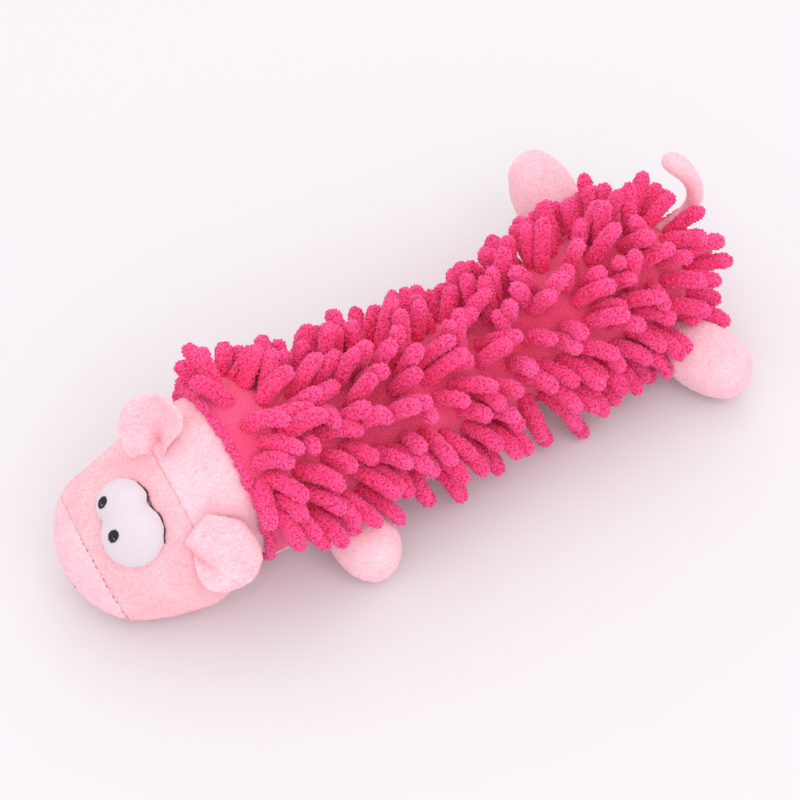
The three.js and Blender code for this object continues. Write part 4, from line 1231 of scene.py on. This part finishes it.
# They bend over one another step by step until none runs through its neighbour.
owner = np.repeat(np.arange(many), NOODLE_JOINTS)
order = np.tile(np.arange(NOODLE_JOINTS), many)
free = order > 0
near_pairs = np.linalg.norm(roots[:, None] - roots[None], axis=2) < 2 * NOODLE_LONG + 0.01
side = np.clip(1 - outs[:, 2], 0.55, 1) - 0.4 * far_high + 0.6 * by_collar + 0.8 * far_low
sag = DROOP * side[owner][:, None] * (order[:, None] / (NOODLE_JOINTS - 1)) ** 1.5
for turn in range(STEPS):
    flat = chain.reshape(-1, 3) + np.array([0, 0, -1]) * sag
    push = np.zeros_like(flat)
    for start in range(0, len(flat), 400):
        block = slice(start, start + 400)
        delta = flat[block, None] - flat[None]
        apart = np.linalg.norm(delta, axis=2)
        close = (apart < 2 * NOODLE_RADIUS) & near_pairs[owner[block]][:, owner] & (owner[block][:, None] != owner)
        force = np.where(close & free[block, None], (2 * NOODLE_RADIUS - apart) * PUSH, 0)
        push[block] = (delta / np.maximum(apart, 1e-6)[:, :, None] * force[:, :, None]).sum(axis=1)
    flat = flat + push
    flat[free] = out_of_body(flat[free], NOODLE_RADIUS * 0.7)
    if turn % 3 == 0:
        for ground, low, high in colliders:
            flat[free] = out_of_tree(flat[free], ground, NOODLE_RADIUS, low, high)
    flat[free, 2] = np.maximum(flat[free, 2], NOODLE_FLOOR)
    chain = flat.reshape(many, NOODLE_JOINTS, 3)
    chain[:, 0] = roots - outs * NOODLE_ROOT
    heading = outs * 0.5 + aims * 0.5
    for k in range(1, NOODLE_JOINTS):
        heading = unit(unit(chain[:, k] - chain[:, k - 1]) * (1 - BEND) + heading * BEND)
        chain[:, k] = chain[:, k - 1] + heading * segment[:, None]

# The chenille's finish paints shade at the noodles' roots and at the foot of their tufts, and leaves their tips pale.
chenille, tree, shader, place = pale_and_deep(
    "chenille", NOODLE_PALE, NOODLE_DEEP, patch_size=0.012, roughness=0.9, sheen=0.4, sheen_tint=NOODLE_SHEEN,
    painted_shade=NOODLE_FOOT_SHADE)
# Painted shade in the gaps between the loops, where the grain is low.
loops = add_node(tree, "TexVoronoi", {"Vector": place, "Scale": 1150}).outputs["Distance"]
loop_gap_shade = add_node(tree, "MapRange", {"Value": loops, "From Min": 0.50, "From Max": 0.72})
tint(tree, shader, loop_gap_shade.outputs["Result"], NOODLE_LOOP_GAP_SHADE)
domes = add_node(tree, "Math", {0: 1.0, 1: loops})
domes.operation = "SUBTRACT"
add_grain(tree, shader, domes.outputs[0], depth=0.0008, strength=0.35)

# Each noodle's cover: where its rings lie along it and how wide they are, up to its rounded tip.
SIDES = 8
RING_SHARES = [0.0, 0.12, 0.26, 0.40, 0.54, 0.68, 0.80, 0.90, 0.965, 1.0]
RING_WIDTHS = np.array([0.80, 0.94, 1.00, 1.02, 1.00, 1.01, 1.00, 0.93, 0.68, 0.34])
WAIST_GROUP = 0.016
noodle_faces = tube_faces(len(RING_SHARES), SIDES)
near_side = outs[:, 1] < 0
for name, chosen in {
    "noodles_chest_left": (alongs < -WAIST_GROUP) & near_side,
    "noodles_chest_right": (alongs < -WAIST_GROUP) & ~near_side,
    "noodles_waist": np.abs(alongs) <= WAIST_GROUP,
    "noodles_rump_left": (alongs > WAIST_GROUP) & near_side,
    "noodles_rump_right": (alongs > WAIST_GROUP) & ~near_side,
}.items():
    points, faces = [], []
    for line in chain[chosen]:
        faces += [tuple(len(points) + i for i in face) for face in noodle_faces]
        middle = without_kinks(places_on(line, np.linspace(0, 1, NOODLE_JOINTS), RING_SHARES), 1)
        radius = NOODLE_RADIUS * (0.93 + 0.14 * noodle_random.random())
        points += rings_along(middle, radius * RING_WIDTHS, SIDES, [0.31, 0.52, 0.79])
    bunch = new_piece(name, points, faces)
    bunch.data.materials.append(chenille)
    # Painted light along each noodle: "reach" runs from 0 at the root to 1 at the tip, so the root is painted in
    # shade and the tip stays pale.
    light_along_noodle = bunch.data.attributes.new("reach", "FLOAT", "POINT")
    light_along_noodle.data.foreach_set("value", np.tile(np.repeat(RING_SHARES, SIDES), int(chosen.sum())))
    add_tufts(bunch, spacing=0.00120, height=0.00065, radius=0.00095, lean=0.25)
    if name == "noodles_waist":
        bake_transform(bunch)
    else:
        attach(bunch, "chest" if "chest" in name else "rump")

# Collar hem: the noodle cloth's cut edge at the collar, a soft roll of knit with its chenille still on it. It
# is turned over and sewn down on the nape.
HEM_RADIUS = 0.0016
HEM_PLACES = 150
HEM_WAVE = 0.0020
HEM_FLOOR = HEM_RADIUS * 1.4 + 0.0008
hem_line = body_ring(COLLAR - 0.0002, np.linspace(-math.pi / 2, 1.5 * math.pi, HEM_PLACES, endpoint=False))
hem_wave = np.cumsum(noodle_random.normal(size=HEM_PLACES))
hem_wave -= np.linspace(0, hem_wave[-1], HEM_PLACES)
hem_line[:, 0] += HEM_WAVE * hem_wave / np.abs(hem_wave).max()
hem_out = unit(hem_line - hem_line.mean(axis=0))
hem_line -= hem_out * HEM_RADIUS * 0.6
hem_line[:, 2] = np.maximum(hem_line[:, 2], HEM_FLOOR)
hem_side = np.cross(unit(np.roll(hem_line, -1, axis=0) - np.roll(hem_line, 1, axis=0)), hem_out)
hem_points = []
for spot, outwards, sideways in zip(hem_line, hem_out, hem_side):
    thick = HEM_RADIUS * (0.55 + 0.8 * noodle_random.random())
    for turn in 2 * math.pi * np.arange(SIDES) / SIDES:
        hem_points.append(spot + (outwards * math.cos(turn) + sideways * math.sin(turn)) * thick)
hem_faces = tube_faces(HEM_PLACES + 1, SIDES, closed=False)
hem = new_piece("collar_hem", hem_points, [[i % len(hem_points) for i in face] for face in hem_faces])
face_outwards(hem)
hem.data.materials.append(chenille)
add_tufts(hem, spacing=0.0012, height=0.0008, radius=0.0008, lean=0.3)
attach(hem, "chest")

# Inside: polyester fibre fill, pushed into every bag before it is sewn shut, and the squeaker, a blown bulb of
# soft plastic with its reed, which lies in a pocket of the fill.
FILL_WHITE = (0.86, 0.86, 0.85)
FILL_SHADE = (0.76, 0.76, 0.75)
BULB_WHITE = (0.72, 0.74, 0.76)
fibre, tree, shader, place = pale_and_deep(
    "fibre_fill", FILL_WHITE, FILL_SHADE, patch_size=0.006, roughness=1.0, sheen=0.3, sheen_tint=(1, 1, 1))
add_nap(tree, shader, place, fineness=400, depth=0.001, strength=0.7, detail=6)
plastic = plain_finish("squeaker_plastic", BULB_WHITE, roughness=0.35, fineness=150, depth=0.0003, strength=0.3)
for node, solid in frame["nodes"].items():
    inside = fibre if "stuffing" in node else plastic if "squeaker" in node else None
    if inside is not None:
        solid.data.materials.clear()
        solid.data.materials.append(inside)
